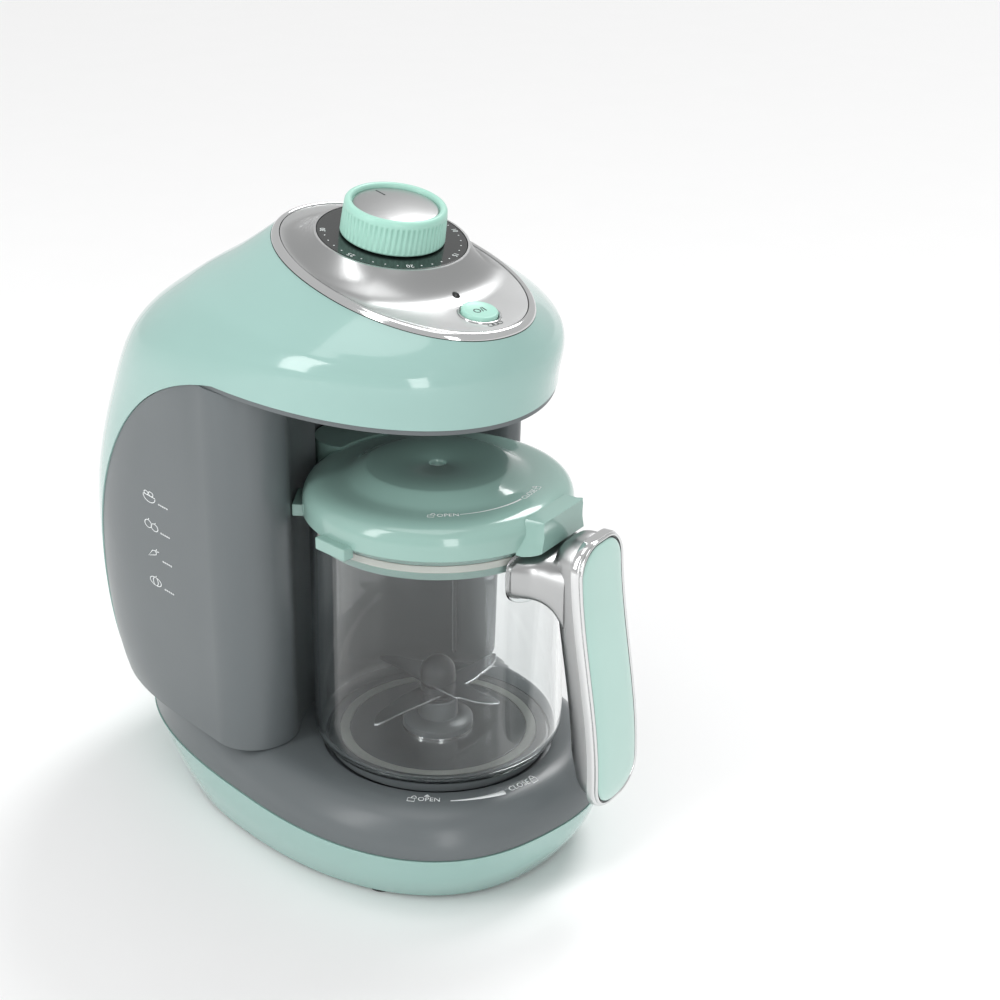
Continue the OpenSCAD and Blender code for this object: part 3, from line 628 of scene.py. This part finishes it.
plate = piece("panel_plate", panel_plate(), SATIN, "housing", ["control_panel"],
              place=AT_PANEL, bevel=0.35, sharp=50)
cut(plate, move(drum(8.1, -5, 15), AT_BUTTON), move(drum(1.7, -5, 15), AT_PANEL @ shift(0, LED_Y, 0)))
piece("bezel", loft([oval(3.9, 0.3), oval(3.75, 0.9), oval(3.3, 1.6), oval(2.5, 2.35), oval(1.6, 2.7),
                     oval(0.8, 2.7), oval(0.5, 2.3), oval(0.5, 0.3)], wrap=True),
      CHROME, "housing", ["panel_bezel"], place=AT_PANEL, sharp=60)
dial_profile = [(14, 10.5), (32, 10.5), (32, 11.9), (31.7, 12.2), (14, 12.2)]
dial = piece("dial", turned(dial_profile), DIAL, "housing", ["dial_ring"], place=AT_KNOB,
             bevel=0.15)


def ribbed_knob():
    """Skirt with sixty upright ribs under a smooth rim, hollow below."""
    outer = [(19.5, 0, 0), (21.9, 0, 0), (22.3, 0.4, 0), (22.3, 1.0, 0), (22.3, 1.3, 1), (21.9, 11.2, 1),
             (21.8, 11.6, 0), (21.75, 12.4, 0), (21.6, 13.5, 0), (21.2, 14.2, 0), (20.5, 14.65, 0),
             (19.8, 14.7, 0), (19.1, 14.5, 0), (18.6, 13.9, 0), (18.5, 12.5, 0), (3, 12.5, 0), (3, 10.5, 0),
             (19, 10.5, 0), (19, 0.6, 0)]
    steps = 480
    loops = []
    for r, z, ribbed in outer:
        loop = []
        for k in range(steps):
            a = 2 * math.pi * k / steps
            wave = 0.5 - 0.5 * math.cos(60 * a)
            radius = r - 0.55 * ribbed * (1 - wave) ** 1.5
            loop.append((radius * math.cos(a), radius * math.sin(a), z))
        loops.append(loop)
    return loft(loops, wrap=True)


LIFT = shift(0, 0, DIAL_Z + 0.6)
piece("timer_knob", ribbed_knob(), KNOB, "knob", ["knob"], place=AT_KNOB @ LIFT, sharp=60)
dome = [(r, 12.6 + 1.45 * (1 - (r / 18.3) ** 2) + 0.35) for r in np.linspace(0, 17.6, 16)]
knob_face = piece("knob_face", turned([(0, 12.6)] + dome + [(18.1, 12.85), (18.25, 12.6)]), SATIN, "knob",
                  ["knob_cap"], place=AT_KNOB @ LIFT, sharp=60)
key_profile = [(0, -1.8), (9.4, -1.8), (9.4, 0), (7.7, 0), (7.7, 3.6), (7.3, 4.1), (6.8, 4.2), (6.3, 4.0),
               (5, 3.75), (0, 3.6)]
key = piece("power_key", turned(key_profile), KNOB, "button", place=AT_BUTTON, sharp=50)
piece("power_stem", turned([(0, -4.2), (2.4, -4.2), (2.4, -1.8), (0, -1.8)], 48), KNOB, "button",
      ["power_button"], place=AT_BUTTON, sharp=50)


def hoop(r, z, thick, steps=96):
    return tube([(r * math.cos(2 * math.pi * k / steps), r * math.sin(2 * math.pi * k / steps), z)
                 for k in range(steps)], thick, 10, True)


piece("key_ring", hoop(8.75, 2.25, 0.55), CHROME, "housing", place=AT_BUTTON, sharp=60)
piece("lamp_ring", hoop(2.0, 2.25, 0.32, 48), CHROME, "housing",
      place=AT_PANEL @ shift(0, LED_Y, 0), sharp=60)

# ---------------------------------------------------------------- jug

JUG_R = 56.2
JUG_WALL = 2.8
JUG_Z = 51.5
JUG_TOP = 168.5


def arc(cx, cz, r, a, b, steps):
    """Points of an arc in a profile, angles in degrees."""
    return [(cx + r * math.cos(rad(mix(a, b, k / steps))), cz + r * math.sin(rad(mix(a, b, k / steps))))
            for k in range(steps + 1)]


jug_wall = turned(
    [(16.1, JUG_Z), (JUG_R - 8, JUG_Z)] + arc(JUG_R - 8, JUG_Z + 8, 8, -85, -5, 10)
    + [(JUG_R, JUG_Z + 9), (JUG_R, 110), (JUG_R, JUG_TOP - 1)]
    + arc(JUG_R - 1.4, JUG_TOP - 1.4, 1.4, 10, 170, 8)
    + [(JUG_R - JUG_WALL, JUG_TOP - 1.6), (JUG_R - JUG_WALL, 110), (JUG_R - JUG_WALL, JUG_Z + 9)]
    + arc(JUG_R - 8, JUG_Z + 8, 5.2, -5, -85, 8) + [(JUG_R - 9, JUG_Z + 2.8), (16.1, JUG_Z + 2.8)], 192)
piece("jug_wall", jug_wall, CLEAR, "jug", ["jug"], place=AT_JUG, sharp=60)
RIB_AZ = 40.0
piece("jug_rib", block((50.9, -0.9, 62), (53.6, 0.9, 150)), CLEAR, "jug",
      place=AT_JUG @ Matrix.Rotation(rad(RIB_AZ), 4, "Z"), bevel=0.3)
piece("jug_foot", turned([(13.5, 47.3), (49.6, 47.3), (50, 47.7), (50, 51.35), (45, 51.35), (45, 49.8),
                          (40, 49.8), (40, 51.35), (16, 51.35), (16, 57), (14.6, 58.2), (9, 59), (9, 67.5),
                          (8.5, 68), (5.5, 68), (5.5, 55.5), (13.5, 55)]),
      GRAY, "jug", [], place=AT_JUG, bevel=0.3)
claws = [move(block((44.5, -4, SEAT_Z + 0.6), (48, 4, SEAT_Z + 3.8)),
              Matrix.Rotation(rad(HANDLE_AZ + 120 * k), 4, "Z")) for k in range(3)]
piece("foot_claws", join(*claws), GRAY, "jug", ["blade_base"], place=AT_JUG, bevel=0.4)


def grip_x(z):
    u = (z - 60) / 100
    return 89.1 - 31.6 * u * u + 20.4 * u ** 3


GRIP_LOW = 46.0
GRIP_HIGH = 168.0
GRIP_W = 17.8
FRAME_DEPTH = 4.0


def grip_stations():
    """Heights of the grip's sections and their share of the full width, rounded at both ends."""
    ends = [(13 * (1 - math.cos(rad(v))), 0.3 + 0.7 * math.sin(rad(v))) for v in range(0, 91, 6)]
    low = [(GRIP_LOW + h, s) for h, s in ends]
    middle = [(mix(GRIP_LOW + 13, GRIP_HIGH - 13, k / 30), 1.0) for k in range(1, 30)]
    return low + middle + [(GRIP_HIGH - h, s) for h, s in reversed(ends)]


def grip_loop(z, x0, back, front, w, e=0.5, n=72):
    out = []
    for k in range(n):
        a = 2 * math.pi * k / n
        c = math.cos(a)
        x = front * max(c, 0.0) ** e if c >= 0 else -back * (-c) ** e
        out.append((grip_x(z) + x0 + x, w * spow(math.sin(a), e), z))
    return out


def shell_depth(z):
    return 9 + 4.5 * smooth((z - 46) / 25)


def grip_shell():
    loops = []
    for z, s in grip_stations():
        f = min(1.0, s + 0.02)
        inward = 1.2 if z < 100 else -1.2
        loops.append(grip_loop(z + inward, -0.4, shell_depth(z) * f, 0.1, 12.6 * f))
    return loft(loops)


def inset_stations(inset):
    """The grip's stations moved inwards by inset all round."""
    middle = (GRIP_LOW + GRIP_HIGH) / 2
    half = (GRIP_HIGH - GRIP_LOW) / 2
    return [(middle + (z - middle) * (half - inset) / half, s * GRIP_W - inset) for z, s in grip_stations()]


def outline(x0, inset):
    """Closed line on the front of the grip, inset from its edge."""
    right = inset_stations(inset)
    path = [(y, z) for z, y in right]
    low, high = right[0], right[-1]
    top = [(high[1] * (1 - k / 4), high[0]) for k in range(1, 8)]
    bottom = [(-low[1] * (1 - k / 4), low[0]) for k in range(1, 8)]
    path += top + [(-y, z) for z, y in reversed(right)] + bottom
    return [(grip_x(z) + x0, y, z) for y, z in path]


def grip_pad(inset, crown):
    """Crowned plate with a rolled edge, inset from the frame's edge."""
    loops = []
    rows = inset_stations(inset)
    low, high = rows[0][0], rows[-1][0]
    for z, w in rows:
        end = min(1.0, min(z - low, high - z) / 9)
        rise = 0.35 + (crown - 0.35) * math.sqrt(max(0.0, 1 - (1 - end) ** 2))
        front = []
        for k in range(41):
            u = -1 + 2 * k / 40
            front.append((grip_x(z) + FRAME_DEPTH + 0.1 + rise * (1 - abs(u) ** 3) ** 0.5, w * u, z))
        back = [(grip_x(z) + FRAME_DEPTH - 0.5, w * u, z) for u in (0.95, 0, -0.95)]
        loops.append(front + back)
    return loft(loops)


def neck_loop(r, w, low, high, n=72):
    out = []
    for k in range(n):
        a = 2 * math.pi * k / n
        t = w * spow(math.cos(a), 0.5)
        out.append((r, t, (low + high) / 2 + (high - low) / 2 * spow(math.sin(a), 0.5)))
    return out


NECK = np.array([[48, 25, 138.5, 159.3], [54, 23.6, 138.5, 159.1], [60, 21, 138.5, 158.6],
                 [64, 18.2, 136.5, 157.6], [68, 15.5, 132, 156], [72, 13, 123, 155]])


def neck():
    return loft([neck_loop(*level(NECK, s)) for s in np.linspace(0, 5, 31)])


def neck_flange():
    """Clear rim of the neck's root, wrapped round the jug's wall."""
    loops = []
    for r, grow in ((56.5, 2.2), (57.6, 2.2), (58.2, 1.5), (58.2, -1.5), (56.5, -1.5)):
        loop = []
        for k in range(96):
            a = 2 * math.pi * k / 96
            t = (23.2 + grow) * spow(math.cos(a), 0.5)
            z = 148.9 + (10.2 + grow) * spow(math.sin(a), 0.5)
            loop.append((r * math.cos(t / r), r * math.sin(t / r), min(z, 160.0)))
        loops.append(loop)
    return loft(loops, wrap=True)


piece("grip_back", grip_shell(), SATIN, "jug", ["handle_shell"], place=AT_HANDLE, sharp=50)
bracket = piece("grip_neck", neck(), SATIN, "jug", ["handle_bracket"], place=AT_HANDLE,
                bevel=0.8, sharp=50)
cut(bracket, move(drum(JUG_R + 0.25, 130, 165, 180), AT_JUG))
piece("neck_flange", neck_flange(), CLEAR, "jug", place=AT_HANDLE, sharp=50)
frame_loops = [grip_loop(z, 0, 0.2, FRAME_DEPTH, GRIP_W * s, 0.3) for z, s in grip_stations()]
piece("grip_frame", loft(frame_loops), CHROME, "jug", ["handle_frame"], place=AT_HANDLE,
      bevel=0.5, sharp=50)
piece("grip_bead", tube(outline(FRAME_DEPTH, 1.15), 0.7, 12, True), CHROME, "jug",
      place=AT_HANDLE, sharp=60)
# Dark rod filling the gap between the bead and the pad: painted shade standing in for the shadow in the
# groove.
piece("grip_groove_shade", tube(outline(FRAME_DEPTH - 0.05, 2.0), 0.38, 10, True), DARK, "jug",
      place=AT_HANDLE, sharp=60)
piece("grip_pad", grip_pad(2.2, 1.7), INLAY, "jug", ["handle_inlay"],
      place=AT_HANDLE, sharp=60)

# ---------------------------------------------------------------- blades


def blade(reach, z):
    """Two-armed flat blade of even thickness, each arm sweeping up and narrowing to its tip."""
    line = [(10, -6), (18, -5.2), (reach * 0.55, -3.6), (reach * 0.78, -1.2), (reach * 0.93, 2.6), (reach, 6),
            (reach * 0.97, 7.2), (reach * 0.86, 7.3), (reach * 0.7, 6.6), (18, 6.4), (12, 6.5)]
    both = line + [(-x, -y) for x, y in line]
    return loft([[(x, y, z + h) for x, y in both] for h in (0, 1.2)])


piece("lower_knife", blade(42, 70.4), STEEL, "blades", ["lower_blade"], place=AT_JUG,
      bevel=0.45, sharp=60)
piece("upper_knife", blade(34, 75), STEEL, "blades", ["upper_blade"],
      place=AT_JUG @ Matrix.Rotation(rad(90), 4, "Z"), bevel=0.45, sharp=60)

# ---------------------------------------------------------------- lid

LID_TOP = 181.6
LID_R = 58.9
SKIRT_R = 57.2
lid_profile = [
    (3.6, LID_TOP - 0.4), (4.1, LID_TOP), (30.6, LID_TOP), (31.6, LID_TOP - 0.2), (32.6, LID_TOP - 0.8),
    (35.6, 179.2), (38.5, 177.5), (40.2, 176.9), (42, 176.6), (46, 176.5), (49, 176.4), (51.4, 176.1),
    (53.5, 175.4), (55.3, 174.5), (56.6, 173.4), (57.6, 172.1), (58.3, 170.6), (58.75, 168.9), (LID_R, 167),
    (LID_R, 162), (SKIRT_R, 162), (SKIRT_R, 169), (55.5, 170), (54, 170), (53, 169), (53, 158.1), (52, 158.1),
    (52, 154.9), (53, 154.9), (53, 151.6), (50.6, 151.6), (50.6, 171.5), (48, 173.9), (41.5, 174.3),
    (37.6, 175), (31.5, 178.4), (30.6, 179.2), (3.6, 179.2)]
lid = piece("lid_top", turned(lid_profile, 192), LID, "lid", place=AT_JUG, bevel=0.25, sharp=55)


LUG_TOP = 174.8


def lug():
    """Block beside the handle, flaring down on both sides to the skirt."""
    loops = []
    for x, low_w, high_w, low in ((54.5, 23, 16.4, 161.2), (57, 22, 16.2, 160.6), (59.5, 19.6, 16, 160.4),
                                  (61.8, 17.6, 15.9, 160.8), (63.4, 16.8, 15.7, 161.6)):
        loop = [(x, -low_w, low), (x, low_w, low)]
        for side in (1, -1):
            middle = (mix(high_w, low_w, 0.5) - 1.2, mix(low, LUG_TOP, 0.5))
            steps = [middle, (high_w, LUG_TOP - 1.8), (high_w - 0.8, LUG_TOP)]
            steps = steps if side > 0 else steps[::-1]
            loop += [(x, side * w, z) for w, z in steps]
        loops.append(loop)
    return loft(loops)


side_block = piece("lid_lug", lug(), LID, "lid", place=AT_HANDLE, bevel=1.1, sharp=40)
cut(side_block, move(turned([(0, 150), (57.8, 150), (57.8, 171.1), (51.3, 171.1), (51.3, 200), (0, 200)]),
                     AT_JUG))
SKIRT_ROOM = move(drum(57.8, 150, 171.1, 96), AT_JUG)
lobe = piece("lid_lobe", move(drum(17, 163.5, 177.1, 96), shift(0, 59, 0)), LID, "lid", ["lid"],
             place=AT_JUG, bevel=1.2, sharp=40)
cut(lobe, SKIRT_ROOM, move(drum(51.3, 150, 200, 96), AT_JUG),
    move(drum(3, 0, 20, 48), AT_JUG @ shift(0, 62, NOZZLE_Z) @ Matrix.Rotation(rad(-90), 4, "X")))
for k, az in enumerate((-177, -46, 44, 134)):
    hook = piece(f"lid_hook_{k + 1}", block((54, -9, 158), (62.6, 9, 163.5)), LID, "lid",
                 place=AT_JUG @ Matrix.Rotation(rad(az), 4, "Z"), bevel=0.9, sharp=40)
    cut(hook, SKIRT_ROOM)

# ---------------------------------------------------------------- tank cap and filler

collar = [(12.3, -11), (15, -11), (15, 0.3), (25, 0.3), (25, 1.3), (24.2, 2.1), (13, 2.2), (12.3, 1.6)]
piece("filler_collar", turned(collar), GRAY, "housing", ["filler_ring"], place=AT_CAP,
      bevel=0.2)
plug = [(0, -7), (7.3, -7), (7.3, 1), (9.3, 1), (9.3, 2.6), (20, 2.6), (20, 5.4), (19.4, 6.1), (18.4, 6.4),
        (15, 6.1), (0, 5.9)]
piece("filler_cap", turned(plug), MINT, "tank_cap", place=AT_CAP, sharp=50)
piece("cap_grip", block((-16, -2.5, 5.7), (16, 2.5, 11)), MINT, "tank_cap", ["tank_cap"],
      place=AT_CAP, bevel=1.2)

# ---------------------------------------------------------------- printed marks


def words(text, size):
    """Flat mesh of a word, in mm, centred on its middle."""
    curve = bpy.data.curves.new("word", "FONT")
    curve.body = text
    curve.size = size
    curve.align_x = "CENTER"
    curve.align_y = "CENTER"
    curve.resolution_u = 3
    ob = bpy.data.objects.new("word", curve)
    scene.collection.objects.link(ob)
    bpy.context.view_layer.update()
    mesh = bpy.data.meshes.new_from_object(ob.evaluated_get(bpy.context.evaluated_depsgraph_get()))
    shape = [tuple(v.co) for v in mesh.vertices], [tuple(p.vertices) for p in mesh.polygons]
    bpy.data.objects.remove(ob)
    return shape


def stroke(points, width, closed=False):
    """Flat line of even width through 2-D points."""
    p = np.asarray(points, float)
    m = len(p)
    left = []
    right = []
    for i in range(m):
        a = p[(i - 1) % m] if closed else p[max(i - 1, 0)]
        b = p[(i + 1) % m] if closed else p[min(i + 1, m - 1)]
        t = (b - a) / max(1e-9, np.linalg.norm(b - a))
        n = np.array([-t[1], t[0]]) * width / 2
        left.append(p[i] + n)
        right.append(p[i] - n)
    verts = [(*v, 0) for v in left] + [(*v, 0) for v in right]
    faces = []
    for i in range(m if closed else m - 1):
        k = (i + 1) % m
        faces.append((i, k, m + k, m + i))
    return verts, faces


def ellipse(cx, cy, rx, ry, a=0.0, b=360.0, steps=24):
    return [(cx + rx * math.cos(rad(mix(a, b, k / steps))), cy + ry * math.sin(rad(mix(a, b, k / steps))))
            for k in range(steps + (0 if b - a == 360 else 1))]


# In metres: how far above its place a mark starts, how far it may drop, how far its middle stands off the
# surface, and how thick it is.
INK_START = 0.006
INK_REACH = 0.03
INK_RISE = 0.00007
INK_THICK = 0.00006


def printed(name, shape, onto, place, mat, body, direction):
    """Lays a flat shape on a surface: place carries it near, then every point drops along the direction."""
    graph = bpy.context.evaluated_depsgraph_get()
    graph.update()
    tree = BVHTree.FromObject(onto, graph)
    verts, faces = shape
    way = Vector(direction).normalized()
    points = []
    for v in verts:
        p = place @ (Vector(v) * MM)
        hit = tree.ray_cast(p - way * INK_START, way, INK_REACH)[0]
        if hit is None:
            hit = p
        points.append(tuple((hit - way * INK_RISE) / MM))
    ob = piece(name, (points, faces), mat, body, sharp=80)
    solid = ob.modifiers.new("ink", "SOLIDIFY")
    solid.thickness = INK_THICK
    solid.offset = 0
    return ob


def round_spot(az, r, z):
    """Place whose X runs along a circle about the jug's axis and whose Y points to the axis."""
    c = math.cos(rad(az))
    s = math.sin(rad(az))
    x, y = r * c, JUG_Y + r * s
    return Matrix(((-s, -c, 0, x * MM), (c, -s, 0, y * MM), (0, 0, 1, z * MM), (0, 0, 0, 1)))


def padlock(size, is_open):
    body = stroke([(-size * 0.35, -size * 0.45), (size * 0.35, -size * 0.45), (size * 0.35, size * 0.05),
                   (-size * 0.35, size * 0.05)], size * 0.09, True)
    top = ellipse(size * (0.22 if is_open else 0), size * 0.05, size * 0.24, size * 0.4, 0, 180, 10)
    return join(body, stroke(top, size * 0.09))


def arc_band(r, a, b, w0, w1, steps=40):
    """Band along a circle about the jug's axis that widens from w0 to w1."""
    verts = []
    for side in (-1, 1):
        for k in range(steps + 1):
            t = rad(mix(a, b, k / steps))
            rr = r + side * mix(w0, w1, k / steps) / 2
            verts.append((rr * math.cos(t), JUG_Y + rr * math.sin(t), 0))
    return verts, [(k, k + 1, steps + 2 + k, steps + 1 + k) for k in range(steps)]


def bump_row(count, gap, r):
    """Short line of dots."""
    centres = [gap * (k - (count - 1) / 2) for k in range(count)]
    return join(*[stroke(ellipse(x, 0, r, r, steps=8), r * 0.9, True) for x in centres])


def food_icons():
    """Four outline drawings: bowl with peas, two apples, carrot and pumpkin."""
    pen = 0.32
    bowl = join(stroke(ellipse(0, 0, 2.6, 2.2, 180, 360, 16) + [(2.6, 0.5), (-2.6, 0.5)], pen, True),
                stroke(ellipse(-1.2, 1.3, 0.9, 0.8), pen, True),
                stroke(ellipse(0.9, 1.5, 1.0, 0.9), pen, True))
    apples = join(stroke(ellipse(-1.4, 0.1, 1.5, 1.6), pen, True),
                  stroke(ellipse(1.4, -0.3, 1.5, 1.5), pen, True),
                  stroke([(-1.4, 1.7), (-0.9, 2.5)], pen), stroke([(1.4, 1.2), (2.0, 1.9)], pen))
    carrot = join(stroke([(-2.4, -1.9), (-0.4, 1.3), (0.7, 1.7), (1.3, 1.1), (1.2, 0.1)], pen, True),
                  stroke([(1.0, 1.5), (1.6, 2.7)], pen), stroke([(1.1, 1.4), (2.6, 2.0)], pen))
    pumpkin = join(stroke(ellipse(0, 0, 2.5, 1.8), pen, True), stroke(ellipse(0, 0, 1.1, 1.8), pen, True),
                   stroke([(0, 1.8), (0.5, 2.6)], pen))
    return bowl, apples, carrot, pumpkin


def white_mark(name, shape, onto, place, body, way):
    printed(name, shape, onto, place, INK, body, way)


DOWN = (0, 0, -1)
INWARD = (1, 0, 0)
LID_MARK_R = 44.5
LID_MARK_Z = 177
BASE_MARK_R = 58.5
for label, az, is_open in (("open", -126, True), ("close", -72, False)):
    at = round_spot(az, LID_MARK_R, LID_MARK_Z)
    white_mark("lid_" + label, words(label.upper(), 3.6), lid, at, "lid", DOWN)
    at = round_spot(az + (-9 if is_open else 10), LID_MARK_R, LID_MARK_Z)
    white_mark("lid_lock_" + label, padlock(3.8, is_open), lid, at, "lid", DOWN)
white_mark("lid_arc", arc_band(LID_MARK_R, -119.5, -80, 0.25, 0.9), lid, shift(0, 0, LID_MARK_Z), "lid", DOWN)
for label, az, is_open in (("open", -135, True), ("close", -94, False)):
    at = round_spot(az, BASE_MARK_R, DECK_Z)
    white_mark("base_" + label, words(label.upper(), 3.8), deck, at, "housing", DOWN)
    at = round_spot(az + (-7.5 if is_open else 8), BASE_MARK_R, DECK_Z)
    white_mark("base_lock_" + label, padlock(4.4, is_open), deck, at, "housing", DOWN)
white_mark("base_arc", arc_band(BASE_MARK_R + 1, -126, -102, 0.4, 2.2), deck, shift(0, 0, DECK_Z), "housing",
           DOWN)
arrow = ([(-1.4, -0.8, 0), (1.4, -0.8, 0), (0, 1.1, 0)], [(0, 1, 2)])
white_mark("base_arrow", arrow, deck, round_spot(-136, 55.6, DECK_Z), "housing", DOWN)

ICON_WIDEN = 1.8
ICON_HEIGHTEN = 1.15
for k, icon in enumerate(food_icons()):
    z = (157.5 - 14 * k) * MM
    at = Matrix(((0, 0, -1, -0.09), (-ICON_WIDEN, 0, 0, 0.049), (0, ICON_HEIGHTEN, 0, z), (0, 0, 0, 1)))
    white_mark(f"side_icon_{k + 1}", icon, inner_face, at, "housing", INWARD)
    white_mark(f"side_dots_{k + 1}", bump_row(5, 0.85, 0.26), inner_face, at @ shift(6.0, -1.2, 0), "housing",
               INWARD)

POINTER_AZ = 85
panel_down = AT_PANEL.to_3x3() @ Vector((0, 0, -1))
for k in range(31):
    at = AT_KNOB @ Matrix.Rotation(rad(POINTER_AZ - 10 * k - 90), 4, "Z") @ shift(0, 29.2, DIAL_Z)
    if k and k % 5 == 0:
        points, faces = words(str(k), 3.4)
    elif k == 0:
        points, faces = ellipse(0, 0, 0.9, 0.9, steps=16), [tuple(range(16))]
    else:
        points, faces = ellipse(0, 0, 0.35, 0.35, steps=12), [tuple(range(12))]
    flat = [(p[0], p[1], 0) for p in points]
    white_mark(f"dial_mark_{k:02d}", (flat, faces), dial, at, "housing", panel_down)
at = AT_KNOB @ Matrix.Rotation(rad(POINTER_AZ - 90), 4, "Z") @ shift(0, 0, 27)
pointer = [(-0.35, 8.5, 0), (0.35, 8.5, 0), (0.35, 15, 0), (-0.35, 15, 0)]
printed("knob_pointer", (pointer, [(0, 1, 2, 3)]), knob_face, at, PRINT, "knob", panel_down)
printed("key_mark", words("O/I", 4.6), key, AT_PANEL @ shift(0, BUTTON_Y, 4), PRINT, "button",
        panel_down)
bean = join(stroke(ellipse(-2.3, 0, 1.5, 1.0), 0.28, True), stroke(ellipse(0, 0, 1.6, 1.1), 0.28, True),
            stroke(ellipse(2.3, 0, 1.5, 1.0), 0.28, True))
printed("panel_icon", bean, plate, AT_PANEL @ shift(0, -59.2, 3), PRINT, "housing",
        panel_down)

# ---------------------------------------------------------------- floor, camera and lights

floor_mat = finish("floor", (243, 243, 243), 0.55, vary=0.004, bump=0.01, grain=60)
bpy.ops.mesh.primitive_plane_add(size=24)
floor = bpy.context.active_object
floor.name = "floor"
floor.data.materials.append(floor_mat)

camera_data = bpy.data.cameras.new("camera")
camera = bpy.data.objects.new("camera", camera_data)
scene.collection.objects.link(camera)
camera.location = (-0.4818, -0.5993, 0.4856)
aim = Vector((0, -0.049, 0.1615)) - camera.location
camera.rotation_euler = aim.to_track_quat("-Z", "Y").to_euler()
camera_data.lens = 66.4
camera_data.sensor_width = 36
camera_data.shift_x = 0.062
camera_data.shift_y = 0.005
scene.camera = camera


def softbox(name, spot, target, width, height, watts):
    data = bpy.data.lights.new(name, "AREA")
    data.shape = "RECTANGLE"
    data.size = width
    data.size_y = height
    data.energy = watts
    ob = bpy.data.objects.new(name, data)
    scene.collection.objects.link(ob)
    ob.location = spot
    ob.rotation_euler = (Vector(target) - Vector(spot)).to_track_quat("-Z", "Y").to_euler()


softbox("top", (-0.25, -0.1, 1.5), (0, -0.02, 0.2), 0.9, 0.7, 3.2)
softbox("left_strip", (-1.15, 0.1, 0.85), (0, 0, 0.2), 0.28, 1.1, 5.5)
softbox("front", (-0.75, -1.3, 0.55), (0, 0, 0.15), 0.3, 1.0, 4.5)
sun_data = bpy.data.lights.new("sun", "SUN")
sun_data.energy = 1.35
sun_data.angle = rad(24)
sun = bpy.data.objects.new("sun", sun_data)
scene.collection.objects.link(sun)
sun.rotation_euler = Vector((-0.75, -0.25, -1)).to_track_quat("-Z", "Y").to_euler()
world = bpy.data.worlds.new("studio")
world.use_nodes = True
world.node_tree.nodes["Background"].inputs["Color"].default_value = (1, 1, 1, 1)
world.node_tree.nodes["Background"].inputs["Strength"].default_value = 0.66
scene.world = world
scene.view_settings.view_transform = "Standard"
